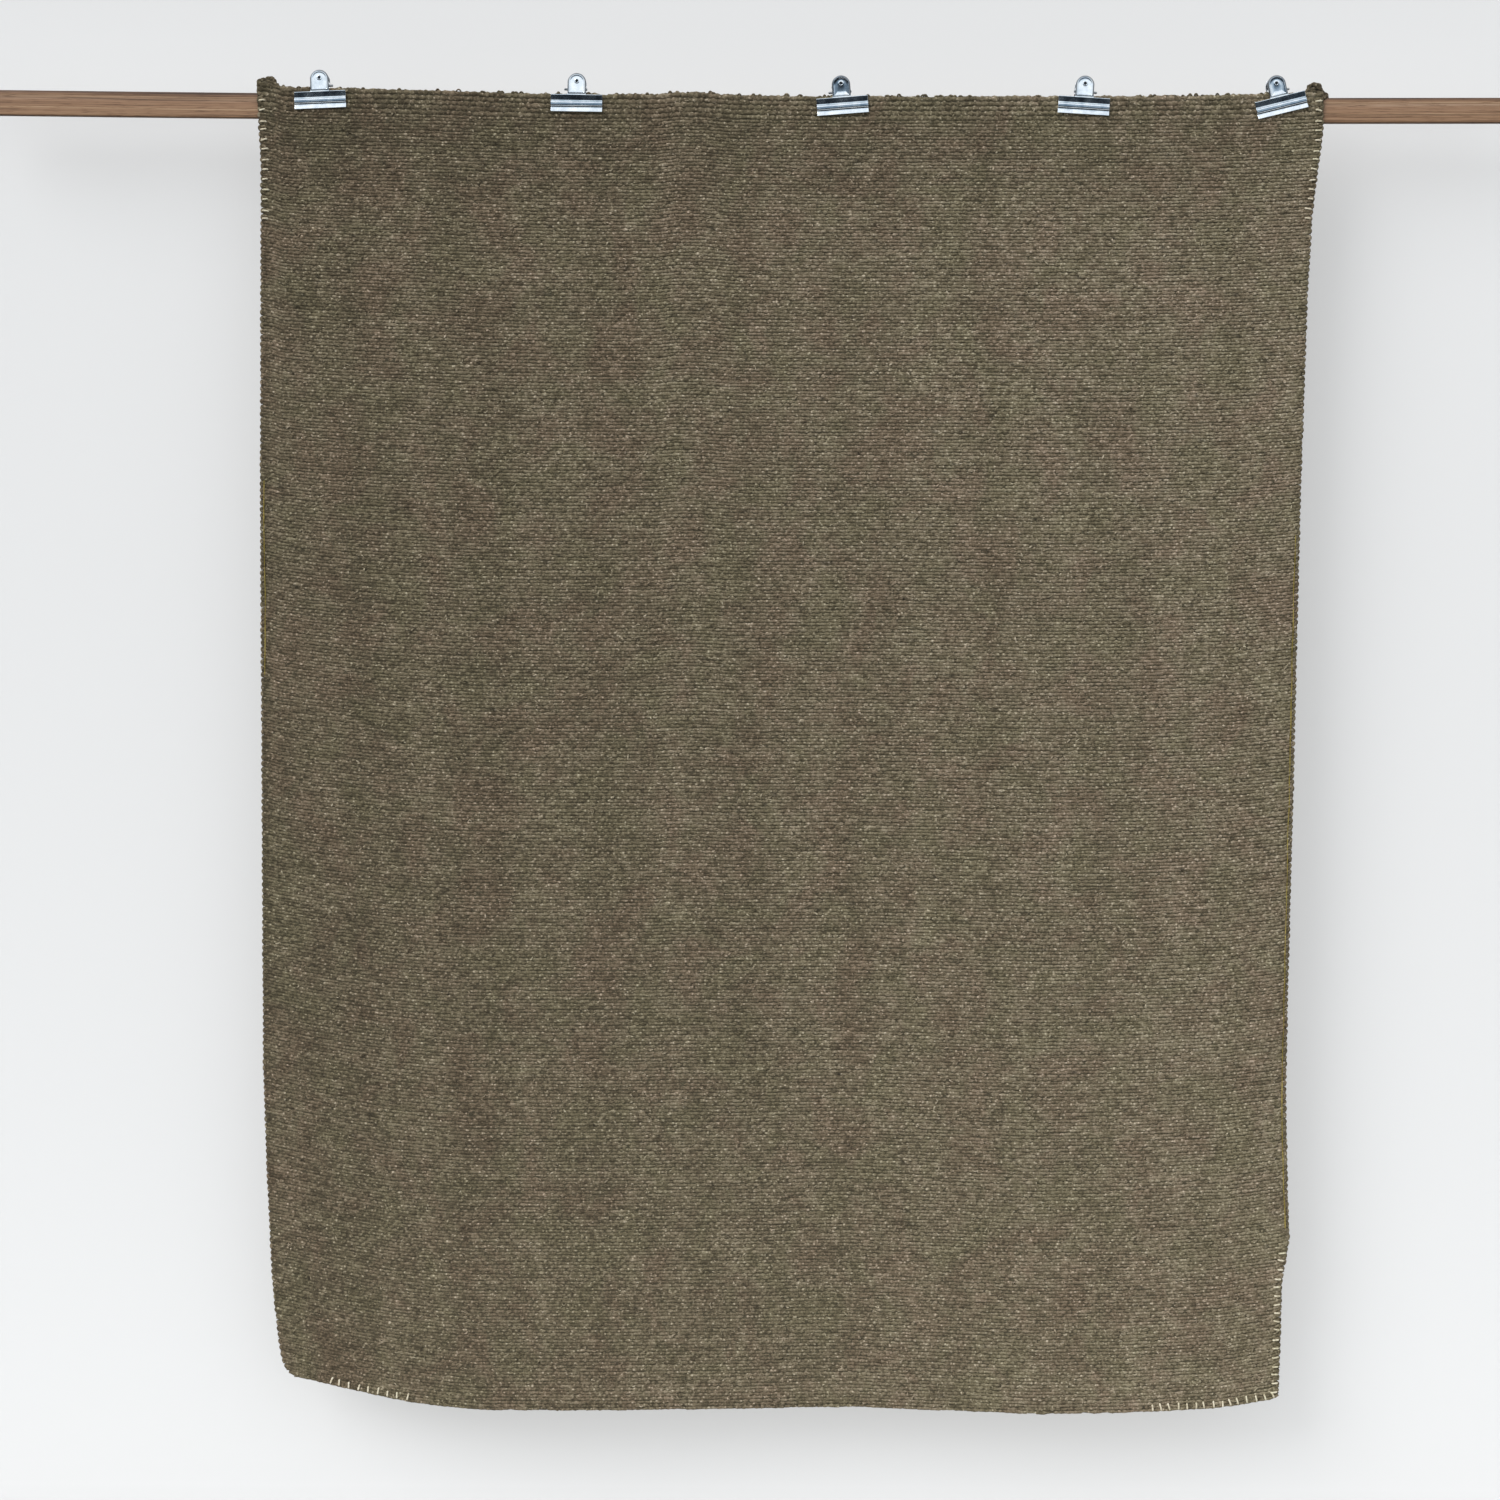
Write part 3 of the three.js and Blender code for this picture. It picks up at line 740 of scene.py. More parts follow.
# %% [markdown]
# ## Blanket stitches
#
# Cream yarn is blanket stitched over the edges at the corners, where a cloth first frays. Each stitch
# goes over the face, down through the cloth and back behind it, and the yarn then runs along the edge
# to the next one. The needle never lands in quite the same place twice, so the bite and the slant of
# each stitch vary.

# %% The edge of the cloth
EDGE_POINTS = 900
run = np.linspace(0, 1, EDGE_POINTS)
EDGES = {
    "right": on_cloth(1.0, run),
    "bottom": on_cloth(run[::-1], 1.0),
    "left": on_cloth(0.0, run[::-1]),
}


def distances(line):
    """How far along a line each of its points lies."""
    return np.concatenate([[0], np.cumsum(np.linalg.norm(np.diff(line, axis=0), axis=1))])


def points_at(line, distance):
    """The points that lie at given distances along a line."""
    return np.stack([np.interp(distance, distances(line), part) for part in line.T], -1)


def edge_frame(edge, distance):
    """The point at a distance along an edge, the direction there, and the direction into the cloth,
    which is the first one turned by a quarter as seen from the front."""
    along = unit(points_at(edge, distance + 4 * MM) - points_at(edge, distance - 4 * MM))
    inwards = unit(np.stack([along[..., 2], 0 * along[..., 1], -along[..., 0]], -1))
    return points_at(edge, distance), along, inwards


def closed_tube(path, tangent, first, radius):
    """Rings along a path that meets itself, shapes x points x 3: each point is the path's, plus radius
    away from it at its angle, between the first axis and that axis crossed with the tangent."""
    second = np.cross(first, tangent)
    angle = angles(radius.shape[-1])
    away = np.cos(angle)[:, None] * first[:, :, None] + np.sin(angle)[:, None] * second[:, :, None]
    rings = path[:, :, None] + radius[..., None] * away
    return turned_out(rings, [lattice(rings, loop=True)])


# %% Stitches along an edge
STITCH_PITCH = 13.4 * MM
CLOSE_PITCH = 11.9 * MM
STITCH_BITE = 8 * MM
THREAD_RADIUS = 1.2 * MM
# A stitch seen from its end: how far into the cloth, as a share of the bite, and how far forwards.
STITCH_IN = np.array([0.22, 0.25, 0.38, 0.66, 0.95, 1.09, 1.12, 1.09, 0.95, 0.66, 0.38, 0.25])
STITCH_OUT = np.array([0.0, 0.75, 1.02, 1.1, 1.02, 0.7, 0.0, -0.7, -1.0, -1.05, -1.0, -0.75])
FACE_OUT = WEFT_DEPTH + THREAD_RADIUS * 0.8
LOOP_POINTS, LOOP_SIDES = 36, 8
LINK_IN = 2.6
LINK_STEPS = 9


def stitch_loops(point, along, inwards):
    """Loops through the cloth near its edge. A loop's point is the stitch's place on the edge, plus
    its share of the bite inwards, plus its share of FACE_OUT forwards, plus a slant along the edge
    that grows with the way in. Its corners are then softened, and its two plies make it swell."""
    bite = STITCH_BITE * draw.uniform(0.82, 1.15, (len(point), 1, 1))
    slant = MM * draw.normal(0.6, 0.9, (len(point), 1, 1))
    share = STITCH_IN[None, :, None]
    loops = (
        point + inwards * bite * share + along * slant * share
        - np.array([0, 1, 0]) * FACE_OUT * STITCH_OUT[None, :, None]
    )
    closed = np.concatenate([loops, loops[:, :1]], 1)
    place = np.linspace(0, len(STITCH_IN), LOOP_POINTS, endpoint=False)
    before = place.astype(int)
    part = (place - before)[None, :, None]
    path = closed[:, before] * (1 - part) + closed[:, before + 1] * part
    path = (np.roll(path, 1, 1) + 2 * path + np.roll(path, -1, 1)) / 4
    tangent = unit(np.roll(path, -1, 1) - np.roll(path, 1, 1))
    along = np.broadcast_to(along, path.shape)
    across = unit(along - (along * tangent).sum(-1, keepdims=True) * tangent)
    plies = 1 + 0.12 * np.cos(2 * angles(LOOP_SIDES) - np.arange(LOOP_POINTS)[:, None] * 0.9)
    return closed_tube(path, tangent, across, THREAD_RADIUS * plies[None])


def blanket_stitches(edge, start, count, pitch):
    """Loops through the cloth near its edge, and the yarn behind it that links them."""
    at = start + pitch * np.arange(count) + MM * draw.normal(0, 0.7, count)
    loops = stitch_loops(*(part[:, None] for part in edge_frame(edge, at)))
    steps = LINK_STEPS * (count - 1) + 12
    distance = np.interp(np.arange(steps), np.linspace(0, steps - 1, count), at)
    distance[0] -= 4 * MM
    distance[-1] += 4 * MM
    point, _, inwards = edge_frame(edge, distance)
    between = np.abs(np.sin(np.pi * np.arange(steps) / (steps - 1) * (count - 1)))
    path = point + inwards * MM * (LINK_IN + 0.8 * between)[:, None]
    path[:, 1] += FACE_OUT + MM * 0.15 * blurred_noise((steps,), 3)
    radius = THREAD_RADIUS * 0.9 * (1 + 0.1 * blurred_noise((steps,), 1))
    return [loops, tubes(rings_along(path[None], radius[None], 8))]


# %% Where each run of stitches goes
right_length, bottom_length, left_length = (distances(edge)[-1] for edge in EDGES.values())
around_corner = np.concatenate([EDGES["right"], EDGES["bottom"][1:]])
# Along which edge, from how far along it, how many stitches, and how far apart.
runs = {
    "blanket_stitch_top_right": (EDGES["right"], STITCH_PITCH, 13, STITCH_PITCH),
    "blanket_stitch_bottom_right": (around_corner, right_length - 16.5 * CLOSE_PITCH, 32, CLOSE_PITCH),
    "blanket_stitch_bottom_left": (EDGES["bottom"], bottom_length - 152 * MM, 9, STITCH_PITCH),
    "blanket_stitch_top_left": (EDGES["left"], left_length - 14 * STITCH_PITCH, 13, STITCH_PITCH),
}
for node, stretch in runs.items():
    shells = blanket_stitches(*stretch)
    points = sum(len(shell[0]) for shell in shells)
    name = node.replace("blanket_stitch", "cream_stitches")
    piece = put_piece(name, shells, cream_wool,
                      marks={"tone": 0.5 + 0.06 * blurred_noise((points,), 8)})
    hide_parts(node)

# %% [markdown]
# ## Knots in the top corners
#
# The heading cords end in a knot of doubled yarn at each corner. A trefoil is the simplest closed
# curve that is really knotted, and it shows three lobes, as such a knot does. The yarn is carried
# along it with two plies, which makes the ring swell and shrink twice on its way round.

# %% Corner knots
KNOT_POINTS, KNOT_SIDES = 150, 12
KNOT_HANGS = 6 * MM


def knot(node, yarn, turn, lobes):
    """A trefoil, fitted to a knot's box: across is sin t + 2 sin 2t, up is cos t - 2 cos 2t, and
    forwards is sin 3t. It is turned in its own plane, and flattened to the depth of the box. Its
    plies make a cosine of twice the ring's angle, which turns eight times on the way round."""
    low, high = (np.array(corner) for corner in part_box(node))
    t = np.linspace(0, 2 * np.pi, KNOT_POINTS, endpoint=False)
    across = np.sin(t) + 2 * np.sin(2 * t)
    up = np.cos(t) - 2 * np.cos(2 * t)
    path = np.stack([
        across * np.cos(turn) - up * np.sin(turn),
        -np.sin(3 * t),
        across * np.sin(turn) + up * np.cos(turn),
    ], -1)
    lowest, highest = path.min(0), path.max(0)
    low = low - [MM, 0, KNOT_HANGS]
    room = np.maximum(high + [MM, 0, 0] - low - 2 * yarn, 2 * MM)
    path = low + yarn + (path - lowest) / (highest - lowest) * room
    path[:, 2] += lobes * (path[:, 0] - path[:, 0].mean()) / room[0]
    tangent = unit(np.roll(path, -1, 0) - np.roll(path, 1, 0))
    first = unit(np.cross(tangent, np.array([0.1, 1.0, 0.2])))
    plies = np.cos(2 * angles(KNOT_SIDES) - 16 * t[:, None])
    radius = yarn * (1 + 0.2 * plies + 0.1 * np.sin(5 * t + 1)[:, None])
    shell = closed_tube(path[None], tangent[None], first[None], radius[None])
    # The tone follows the plies as well: darker where the ring dips between them, painted shade in the
    # grooves of the yarn.
    piece = put_piece(node.replace("corner_knot_", "knot_"), [shell], olive_wool,
                      marks={"tone": (0.2 + 0.13 * plies).ravel()})
    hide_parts(node)
    return piece


knots = [
    knot("corner_knot_left", 3.3 * MM, math.pi - 0.3, -7 * MM),
    knot("corner_knot_right", 3.6 * MM, math.pi + 0.1, -2 * MM),
]

# %% [markdown]
# ## Plated steel
#
# The clips are pressed from spring steel strip and bright nickel plated, then handled for years. The
# plating is a mirror with the faint ripple of the strip under it, finer rubbed scratches along the
# length, and a dull film in places. The ripple is what breaks up the reflections, so its height is only
# a few hundredths of a millimetre over 6 to 10 mm. The rims of the tabs carry a painted dark reflection
# and their inner sides painted shade, both marked by an attribute on the points.

# %% Plated steel material
def plated_steel(name, colours, roughness):
    """colours and roughness both go from where the plating is bright to where a film dulls it."""
    material, tree, shader, place = new_material(name, sum(roughness) / 2, metallic=1.0)
    ripple = noise(tree, place, 9 * MM, 1.0)
    rubbed = add(tree, "ShaderNodeMapping", {"Vector": place, "Scale": (0.08, 1.0, 1.0)})
    scratches = noise(tree, rubbed, 0.6 * MM, 3.0, 0.6)
    film = noise(tree, place, 14 * MM, 4.0, 0.6)
    colour = ramp(tree, film, *zip((0.3, 0.5, 0.7), colours))
    # Painted dark reflection and shade: where this share is high the colour is laid over with dark grey
    # and the steel is rougher, along the tab rims for the dark reflection they show and over the inner
    # sides for the shade between the tabs.
    painted_dark_share = attribute(tree, "painted_shade_and_reflection")
    polished = rescaled(tree, film, (0.35, 0.7), roughness)
    wavy = bump(tree, ripple, 0.35, 0.08 * MM)
    fill(tree, shader, {
        "Base Color": laid_over(tree, colour, linear("#2b2f34"), painted_dark_share, "MIX"),
        "Roughness": calculated(tree, "MULTIPLY_ADD", painted_dark_share, 0.3, polished),
        "Normal": bump(tree, scratches, 0.12, 0.05 * MM, Normal=wavy),
    })
    return material


clip_plate = plated_steel("bright nickel plated steel", ("#bfcbd6", "#d8e1e9", "#ecf1f4"), (0.1, 0.2))
spring_wire = plated_steel("oiled spring steel", ("#6d7175", "#8b9094", "#a3a8ab"), (0.24, 0.4))

# %% [markdown]
# ## The clips
#
# Each half of a clip is one stamping: a folded jaw bar, 70 mm long, a tab to squeeze with a rolled
# rim and a punched hole, and two ears that turn on the pin. Every part is drawn in the clip's own
# axes, along the bar, out from the middle of the clip, and up from the pin, and is then carried to
# its place on the batten. The rear half is the same stamping turned round, with its ears set closer.

# %% A clip's own axes
JAW_IN = 8.95 * MM
TAB_OUT = 1.25 * MM
TAB_BASE = -6.5 * MM
TAB_HALF = 12.5 * MM
TAB_HEIGHT = 27 * MM
TAB_LEAN = 3.3
# The punched hole's middle below the tab's top, its radius, and that of the pan's floor round it.
HOLE_DOWN, HOLE_RADIUS, PAN_RADIUS = 10.5 * MM, 2 * MM, 5.5 * MM
# How many more degrees each clip's front tab was bent outwards in use.
BENT_OUT = (0, 0, 8, 1.5, 6.3)
SHEET_HALF = 0.5 * MM
EAR_OUTER, EAR_INNER = 12 * MM, 10.7 * MM
PIN_HOLE = 1.85 * MM


def on_clip(number, points, turned=False):
    """From a clip's own axes, along, out and up, to the frame's. Out is forwards, or backwards and
    with the bar's length turned round for the rear half."""
    joint = frame["joints"][number]
    along = -unit(np.array(joint["axis"]))
    up = np.array([-along[2], 0, along[0]])
    out = np.array([0, -1, 0])
    sign = -1 if turned else 1
    level = sign * points[..., :1] * along + sign * points[..., 1:2] * out
    return np.array(joint["pos_m"]) + level + points[..., 2:] * up


# %% Folded bars
def softened(corners, spacing, spread):
    """A path of straight lines with its corners rounded: sampled finely, then blurred by a bell curve
    whose ends are held by carrying the first and last lines on."""
    corners = np.array(corners, float)
    reach = 4 * spread
    start = corners[0] + unit(corners[0] - corners[1]) * reach
    end = corners[-1] + unit(corners[-1] - corners[-2]) * reach
    corners = np.concatenate([[start], corners[1:-1], [end]])
    length, fine = distances(corners)[-1], spacing / 4
    at = np.arange(0, length, fine)
    width = int(3 * spread / fine)
    bell = np.exp(-0.5 * (np.arange(-width, width + 1) * fine / spread) ** 2)
    bell /= bell.sum()
    line = np.stack([np.convolve(part, bell, "valid") for part in points_at(corners, at).T], -1)
    at = at[width : len(at) - width]
    return line[(at > reach) & (at < length - reach)][::4]


def folded_bar(corners, width, bend=0.45 * MM):
    """A strip of sheet folded along its length: the folded line set off by half the sheet's thickness
    to each side, with round edges, carried along the bar. The last stations are thinner, which
    rounds its ends off too."""
    line = softened(corners, 0.35 * MM, bend)
    tangent = unit(np.gradient(line, axis=0))
    normal = np.stack([-tangent[:, 1], tangent[:, 0]], -1)
    quarter = np.linspace(0, np.pi / 2, 4)[1:-1, None]

    def face(side):
        """The line set off to one side, with the points of a quarter circle at each end."""
        off = side * SHEET_HALF * normal
        head = line[0] - SHEET_HALF * np.cos(quarter) * tangent[0] + np.sin(quarter) * off[0]
        tail = line[-1] + SHEET_HALF * np.cos(quarter) * tangent[-1] + np.sin(quarter) * off[-1]
        return np.concatenate([head, line + off, tail[::-1]])

    upper, lower = face(1), face(-1)
    centre = (upper + lower) / 2
    half = width / 2
    ends = np.array([0, 0.12, 0.45]) * MM
    stations = np.concatenate([ends - half, np.linspace(MM - half, half - MM, 15), (half - ends)[::-1]])
    thin = np.ones(len(stations))
    thin[[0, -1]], thin[[1, -2]] = 0.4, 0.8
    loop = np.concatenate([upper, lower[::-1]])
    middle = np.concatenate([centre, centre[::-1]])
    section = middle + (loop - middle) * thin[:, None, None]
    along = np.broadcast_to(stations[:, None, None], (*section.shape[:2], 1))
    rings = np.concatenate([along, section], -1)[None]
    return rings, [lattice(rings), ladder_caps(rings)]


# %% Tabs and ears
def tab_pan(bent=0):
    """A tab as a closed sheet of loops round its outline: each loop is the outline drawn in by an
    amount and set out or back by another, from the turned-in rim, over its round shoulder and the
    shallow pan inside it, to the punched hole, and back along the inner side.

    The outline is a U upside down. Its foot has no rim, so there the rim's depth fades to nothing.
    """
    shoulder = TAB_HEIGHT - TAB_HALF
    arc = np.linspace(0, np.pi, 33)
    side = np.linspace(0, 1, 9)[1:-1]
    foot = np.linspace(-1, 1, 12)
    pull_x = np.concatenate([np.cos(arc), -np.ones(7), foot, np.ones(7)])
    pull_z = np.concatenate([np.sin(arc), np.zeros(7), np.full(12, -0.35), np.zeros(7)])
    x = pull_x * TAB_HALF
    z = np.concatenate([
        shoulder + TAB_HALF * np.sin(arc), shoulder * (1 - side), np.zeros(12), shoulder * side,
    ])
    rim = np.clip((z - 0.4 * MM) / (3 * MM), 0, 1)
    centre_z = TAB_HEIGHT - HOLE_DOWN
    turn = np.arctan2(z - centre_z, x)
    # How far in, how far out (minus is back, towards the other half), and how much of a circle.
    loops = np.array([
        (0.00, -3.5, 0), (0.00, -2.2, 0), (0.00, -0.9, 0), (0.10, -0.3, 0), (0.35, 0.15, 0),
        (0.80, 0.42, 0), (1.30, 0.50, 0), (2.60, 0.50, 0), (3.00, 0.42, 0), (3.40, 0.18, 0),
        (3.80, 0.10, 0), (6.00, 0.10, 0.4), (0.00, 0.10, 3.9), (0.00, 0.16, 3.3), (0.00, 0.42, 2.9),
        (0.00, 0.45, 2.4), (0.00, 0.30, 2.05), (0.00, -0.10, 2.0), (0.00, -0.50, 2.1),
        (0.00, -0.55, 3.0), (5.00, -0.55, 0.4), (2.60, -0.50, 0), (1.50, -0.62, 0), (1.08, -1.0, 0),
        (1.00, -2.2, 0), (0.96, -3.4, 0), (0.50, -3.62, 0), (0.15, -3.6, 0),
    ])
    inset, out, circle = (loops[:, i : i + 1] for i in range(3))
    outline_x = x - pull_x * inset * MM
    outline_z = z - pull_z * inset * MM
    hole = np.maximum(circle * MM, HOLE_RADIUS)
    to_hole = np.clip(circle, 0, 1)
    loop_x = outline_x * (1 - to_hole) + hole * np.cos(turn) * to_hole
    loop_z = outline_z * (1 - to_hole) + (centre_z + hole * np.sin(turn)) * to_hole
    partly = (circle > 0) & (circle < 1)
    ring_x, ring_z = PAN_RADIUS * np.cos(turn), centre_z + PAN_RADIUS * np.sin(turn)
    loop_x = np.where(partly, outline_x * 0.55 + ring_x * 0.45, loop_x)
    loop_z = np.where(partly, outline_z * 0.55 + ring_z * 0.45, loop_z)
    depth = np.where(out < -0.5, out * rim - 0.5 * (1 - rim), out) * MM
    lean = math.radians(TAB_LEAN + bent)
    leaned_out = depth * math.cos(lean) + loop_z * math.sin(lean)
    leaned_up = loop_z * math.cos(lean) - depth * math.sin(lean)
    rings = np.stack([loop_x, JAW_IN + TAB_OUT + leaned_out, TAB_BASE + leaned_up], -1)[None]
    return rings, [lattice(rings, loop=True)]


def ear(middle):
    """A flat ear round the pin: its outline and the pin's hole at the same angles, with round edges."""
    back = JAW_IN + TAB_OUT
    arc = np.linspace(np.pi / 2, 1.5 * np.pi, 15)
    round_end = zip(4 * MM * np.cos(arc), 4 * MM * np.sin(arc))
    corners = [(back, -3.5 * MM), (back + SHEET_HALF, 5.5 * MM), *round_end]
    corners = np.array(corners + corners[:1])
    outline = points_at(corners, np.linspace(0, distances(corners)[-1], 56, endpoint=False))
    around = unit(outline)
    # How far in each loop lies, where 1 is the pin's hole, and how far through the sheet, in mm.
    loops = ((0, -0.35), (0.12, -0.5), (1, -0.5), (1, 0.5), (0.12, 0.5), (0, 0.35))
    rings = np.stack([
        np.column_stack([
            np.full(len(outline), middle + through * MM),
            around * PIN_HOLE if inset == 1 else outline - around * inset * 1.2 * MM,
        ])
        for inset, through in loops
    ])[None]
    return rings, [lattice(rings, loop=True)]


# How dark each loop of a tab is painted: the rim and the round edge it ends in as reflection, then the
# inner side as shade.
TAB_PAINTED_DARK = np.interp(np.arange(28), (0, 5, 6, 7, 17, 18, 24, 25), (0.85, 0.8, 0.65, 0, 0, 1, 1, 0.3))
JAW_CORNERS = [(3.45, -9), (1.45, -16.8), (3.65, -19), (2.85, -23.3), (0, -25.6), (2.55, -31.5)]
jaw_corners = [(JAW_IN + out * MM, up * MM) for out, up in JAW_CORNERS]
foot_corners = [
    (JAW_IN + TAB_OUT, TAB_BASE + 0.6 * MM), (JAW_IN + 3.3 * MM, -8.6 * MM),
    (JAW_IN + 3.0 * MM, -10.6 * MM),
]


def stamping(number, ear_place, turned):
    """The five shells of one half, and how dark each of their points is painted, as reflection or
    shade.
    """
    parts = [
        folded_bar(jaw_corners, 2 * CLIP_HALF), folded_bar(foot_corners, 2 * TAB_HALF, 0.7 * MM),
        tab_pan(0 if turned else BENT_OUT[number]), ear(ear_place), ear(-ear_place),
    ]
    # Only the tab is painted dark: a painted dark reflection along its rim and painted shade over its
    # inner side.
    painted_dark_shares = [np.zeros(points.shape[:3]) for points, _ in parts]
    painted_dark_shares[2] += TAB_PAINTED_DARK[:, None]
    shells = [turned_out(on_clip(number, points, turned), faces) for points, faces in parts]
    return shells, {"painted_shade_and_reflection": np.concatenate([share.ravel() for share in painted_dark_shares])}


# %% [markdown]
# ## Pins and springs
#
# The pin is a plain wire rivet: its ends stand out past the ears, and one was hammered to a low dome.
# The torsion spring is close wound round it, from a leg that presses on the rear tab, through fourteen
# turns, to a leg that presses on the front tab.

# %% Pin and spring
SPRING_RADIUS = 3.2 * MM
WIRE_RADIUS = 0.6 * MM
COIL_HALF = 9.1 * MM
COIL_TURNS = 14
LEG_OUT, LEG_UP = 9.75 * MM, 10 * MM
PIN_SHORT, PIN_LONG = 1.5 * MM, 5 * MM
# Which end of each pin is the long one.
LONG_ENDS = (1, -1, -1, 1, 1)


def pin(long_end):
    """A rod along the clip whose radius follows a short list of stations, with domed ends."""
    left = MM * np.array([0, 0.15, 0.5, 1.0, 1.3, 2.0]) - TAB_HALF - PIN_SHORT
    right = TAB_HALF + PIN_LONG - MM * np.array([1.2, 0.7, 0.35, 0.1, 0])
    x = np.concatenate([left, np.linspace(left[-1], right[0], 12)[1:-1], right])
    radius = MM * np.concatenate(
        [[0.7, 1.35, 1.75, 1.8, 1.55, 1.5], np.full(10, 1.5), [1.5, 1.48, 1.3, 0.95, 0.5]]
    )
    return rings_along(np.stack([x * long_end, 0 * x, 0 * x], -1)[None], radius[None], 20)


def torsion_spring(bent):
    """A leg, a helix and a leg. The helix is out = radius cos, up = radius sin, and along grows
    evenly with the angle; each leg leaves it on its tangent and goes straight to its tab."""
    tangent_turn = math.acos(SPRING_RADIUS / math.hypot(LEG_OUT, LEG_UP))
    end = math.atan2(LEG_UP, LEG_OUT) - tangent_turn
    angle = np.linspace(math.pi - end, end + 2 * np.pi * (COIL_TURNS + 1), COIL_TURNS * 20)
    x = np.linspace(-COIL_HALF, COIL_HALF, len(angle))
    helix = np.stack([x, SPRING_RADIUS * np.cos(angle), SPRING_RADIUS * np.sin(angle)], -1)
    share = np.linspace(0, 1, 10)[:-1, None]
    front_out = LEG_OUT + (LEG_UP - TAB_BASE) * math.tan(math.radians(bent))
    rear_tip, front_tip = np.array([[-COIL_HALF, -LEG_OUT, LEG_UP], [COIL_HALF, front_out, LEG_UP]])
    rear_leg = rear_tip + share * (helix[0] - rear_tip)
    front_leg = helix[-1] + (1 - share[::-1]) * (front_tip - helix[-1])
    path = np.concatenate([rear_leg, helix, front_leg])[None]
    radius = np.full(path.shape[:2], WIRE_RADIUS)
    radius[:, [0, -1]] *= 0.6
    return rings_along(path, radius, 8, reference=(1, 0.02, 0.03))


# %% Make the five clips
jaws = []
for number, long_end in enumerate(LONG_ENDS):
    name = f"clip_{number + 1}"
    shells, marks = stamping(number, EAR_OUTER, False)
    front = put_piece(f"{name}_front_stamping", shells, clip_plate,
                      body=f"{name}_front", marks=marks)
    shells, marks = stamping(number, EAR_INNER, True)
    rear = put_piece(f"{name}_rear_stamping", shells, clip_plate, marks=marks)
    shell = tubes(on_clip(number, pin(long_end)))
    rod = put_piece(f"{name}_rivet_pin", [shell], spring_wire)
    shell = tubes(on_clip(number, torsion_spring(BENT_OUT[number])))
    wound = put_piece(f"{name}_wound_spring", [shell], spring_wire, body=None)
    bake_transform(wound)
    nodes = ("front_jaw", "rear_jaw", "pivot_pin", "torsion_spring")
    for piece, node in zip((front, rear, rod, wound), nodes):
        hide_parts(f"{name}_{node}")
    jaws += [front.name, rear.name]

# %% [markdown]
# ## The batten
#
# The batten is a planed length of softwood, 12 mm thick, that has sagged a little under the cloth.
# Straight grain runs its whole length as a few dozen fine lines, with one pale band of early wood near
# the top, and its arrises are darker, the upper one most. The grain follows the sag, so the surface
# carries its own height across the face as an attribute.

# %% The batten's surface
BATTEN_HEIGHT, ARRIS = 34 * MM, 1.6 * MM


def batten_surface():
    """An oblong with round corners, carried along the batten and let down by the parabola of its sag.
    The corners are quarter circles of radius ARRIS, and the first and last sections are drawn in."""
    depth, height = (batten_high - batten_low)[1] / 2, BATTEN_HEIGHT / 2
    corners = []
    for sign_y, sign_z, quarter in ((-1, 1, 1), (-1, -1, 2), (1, -1, 3), (1, 1, 0)):
        angle = np.pi / 2 * quarter + np.linspace(0, np.pi / 2, 5)
        corners.append(np.stack([sign_y * (depth - ARRIS) + ARRIS * np.cos(angle),
                                 sign_z * (height - ARRIS) + ARRIS * np.sin(angle)], -1))
    face = (height - ARRIS) * np.linspace(-1, 1, 14)[1:-1]
    front = np.stack([np.full(12, -depth), -face], -1)
    back = np.stack([np.full(12, depth), face], -1)
    section = np.concatenate([corners[0], front, corners[1], corners[2], back, corners[3]])
    x = np.linspace(-1, 1, 201) * batten_half
    x = np.insert(x, [1, len(x) - 1], [-batten_half + 0.6 * MM, batten_half - 0.6 * MM])
    drawn_in = np.ones(len(x))
    drawn_in[[0, -1]] = 0.93
    worn = 0.12 * MM * blurred_noise((len(x),), 8)
    y = (batten_low[1] + batten_high[1]) / 2 + section[None, :, 0] * drawn_in[:, None]
    z = section[None, :, 1] * drawn_in[:, None] - batten_drop(x)[:, None] + worn[:, None]
    rings = np.stack([np.broadcast_to(x[:, None], y.shape), y, z], -1)[None]
    return rings, np.broadcast_to((section[:, 1] / height + 1) / 2, y.shape)


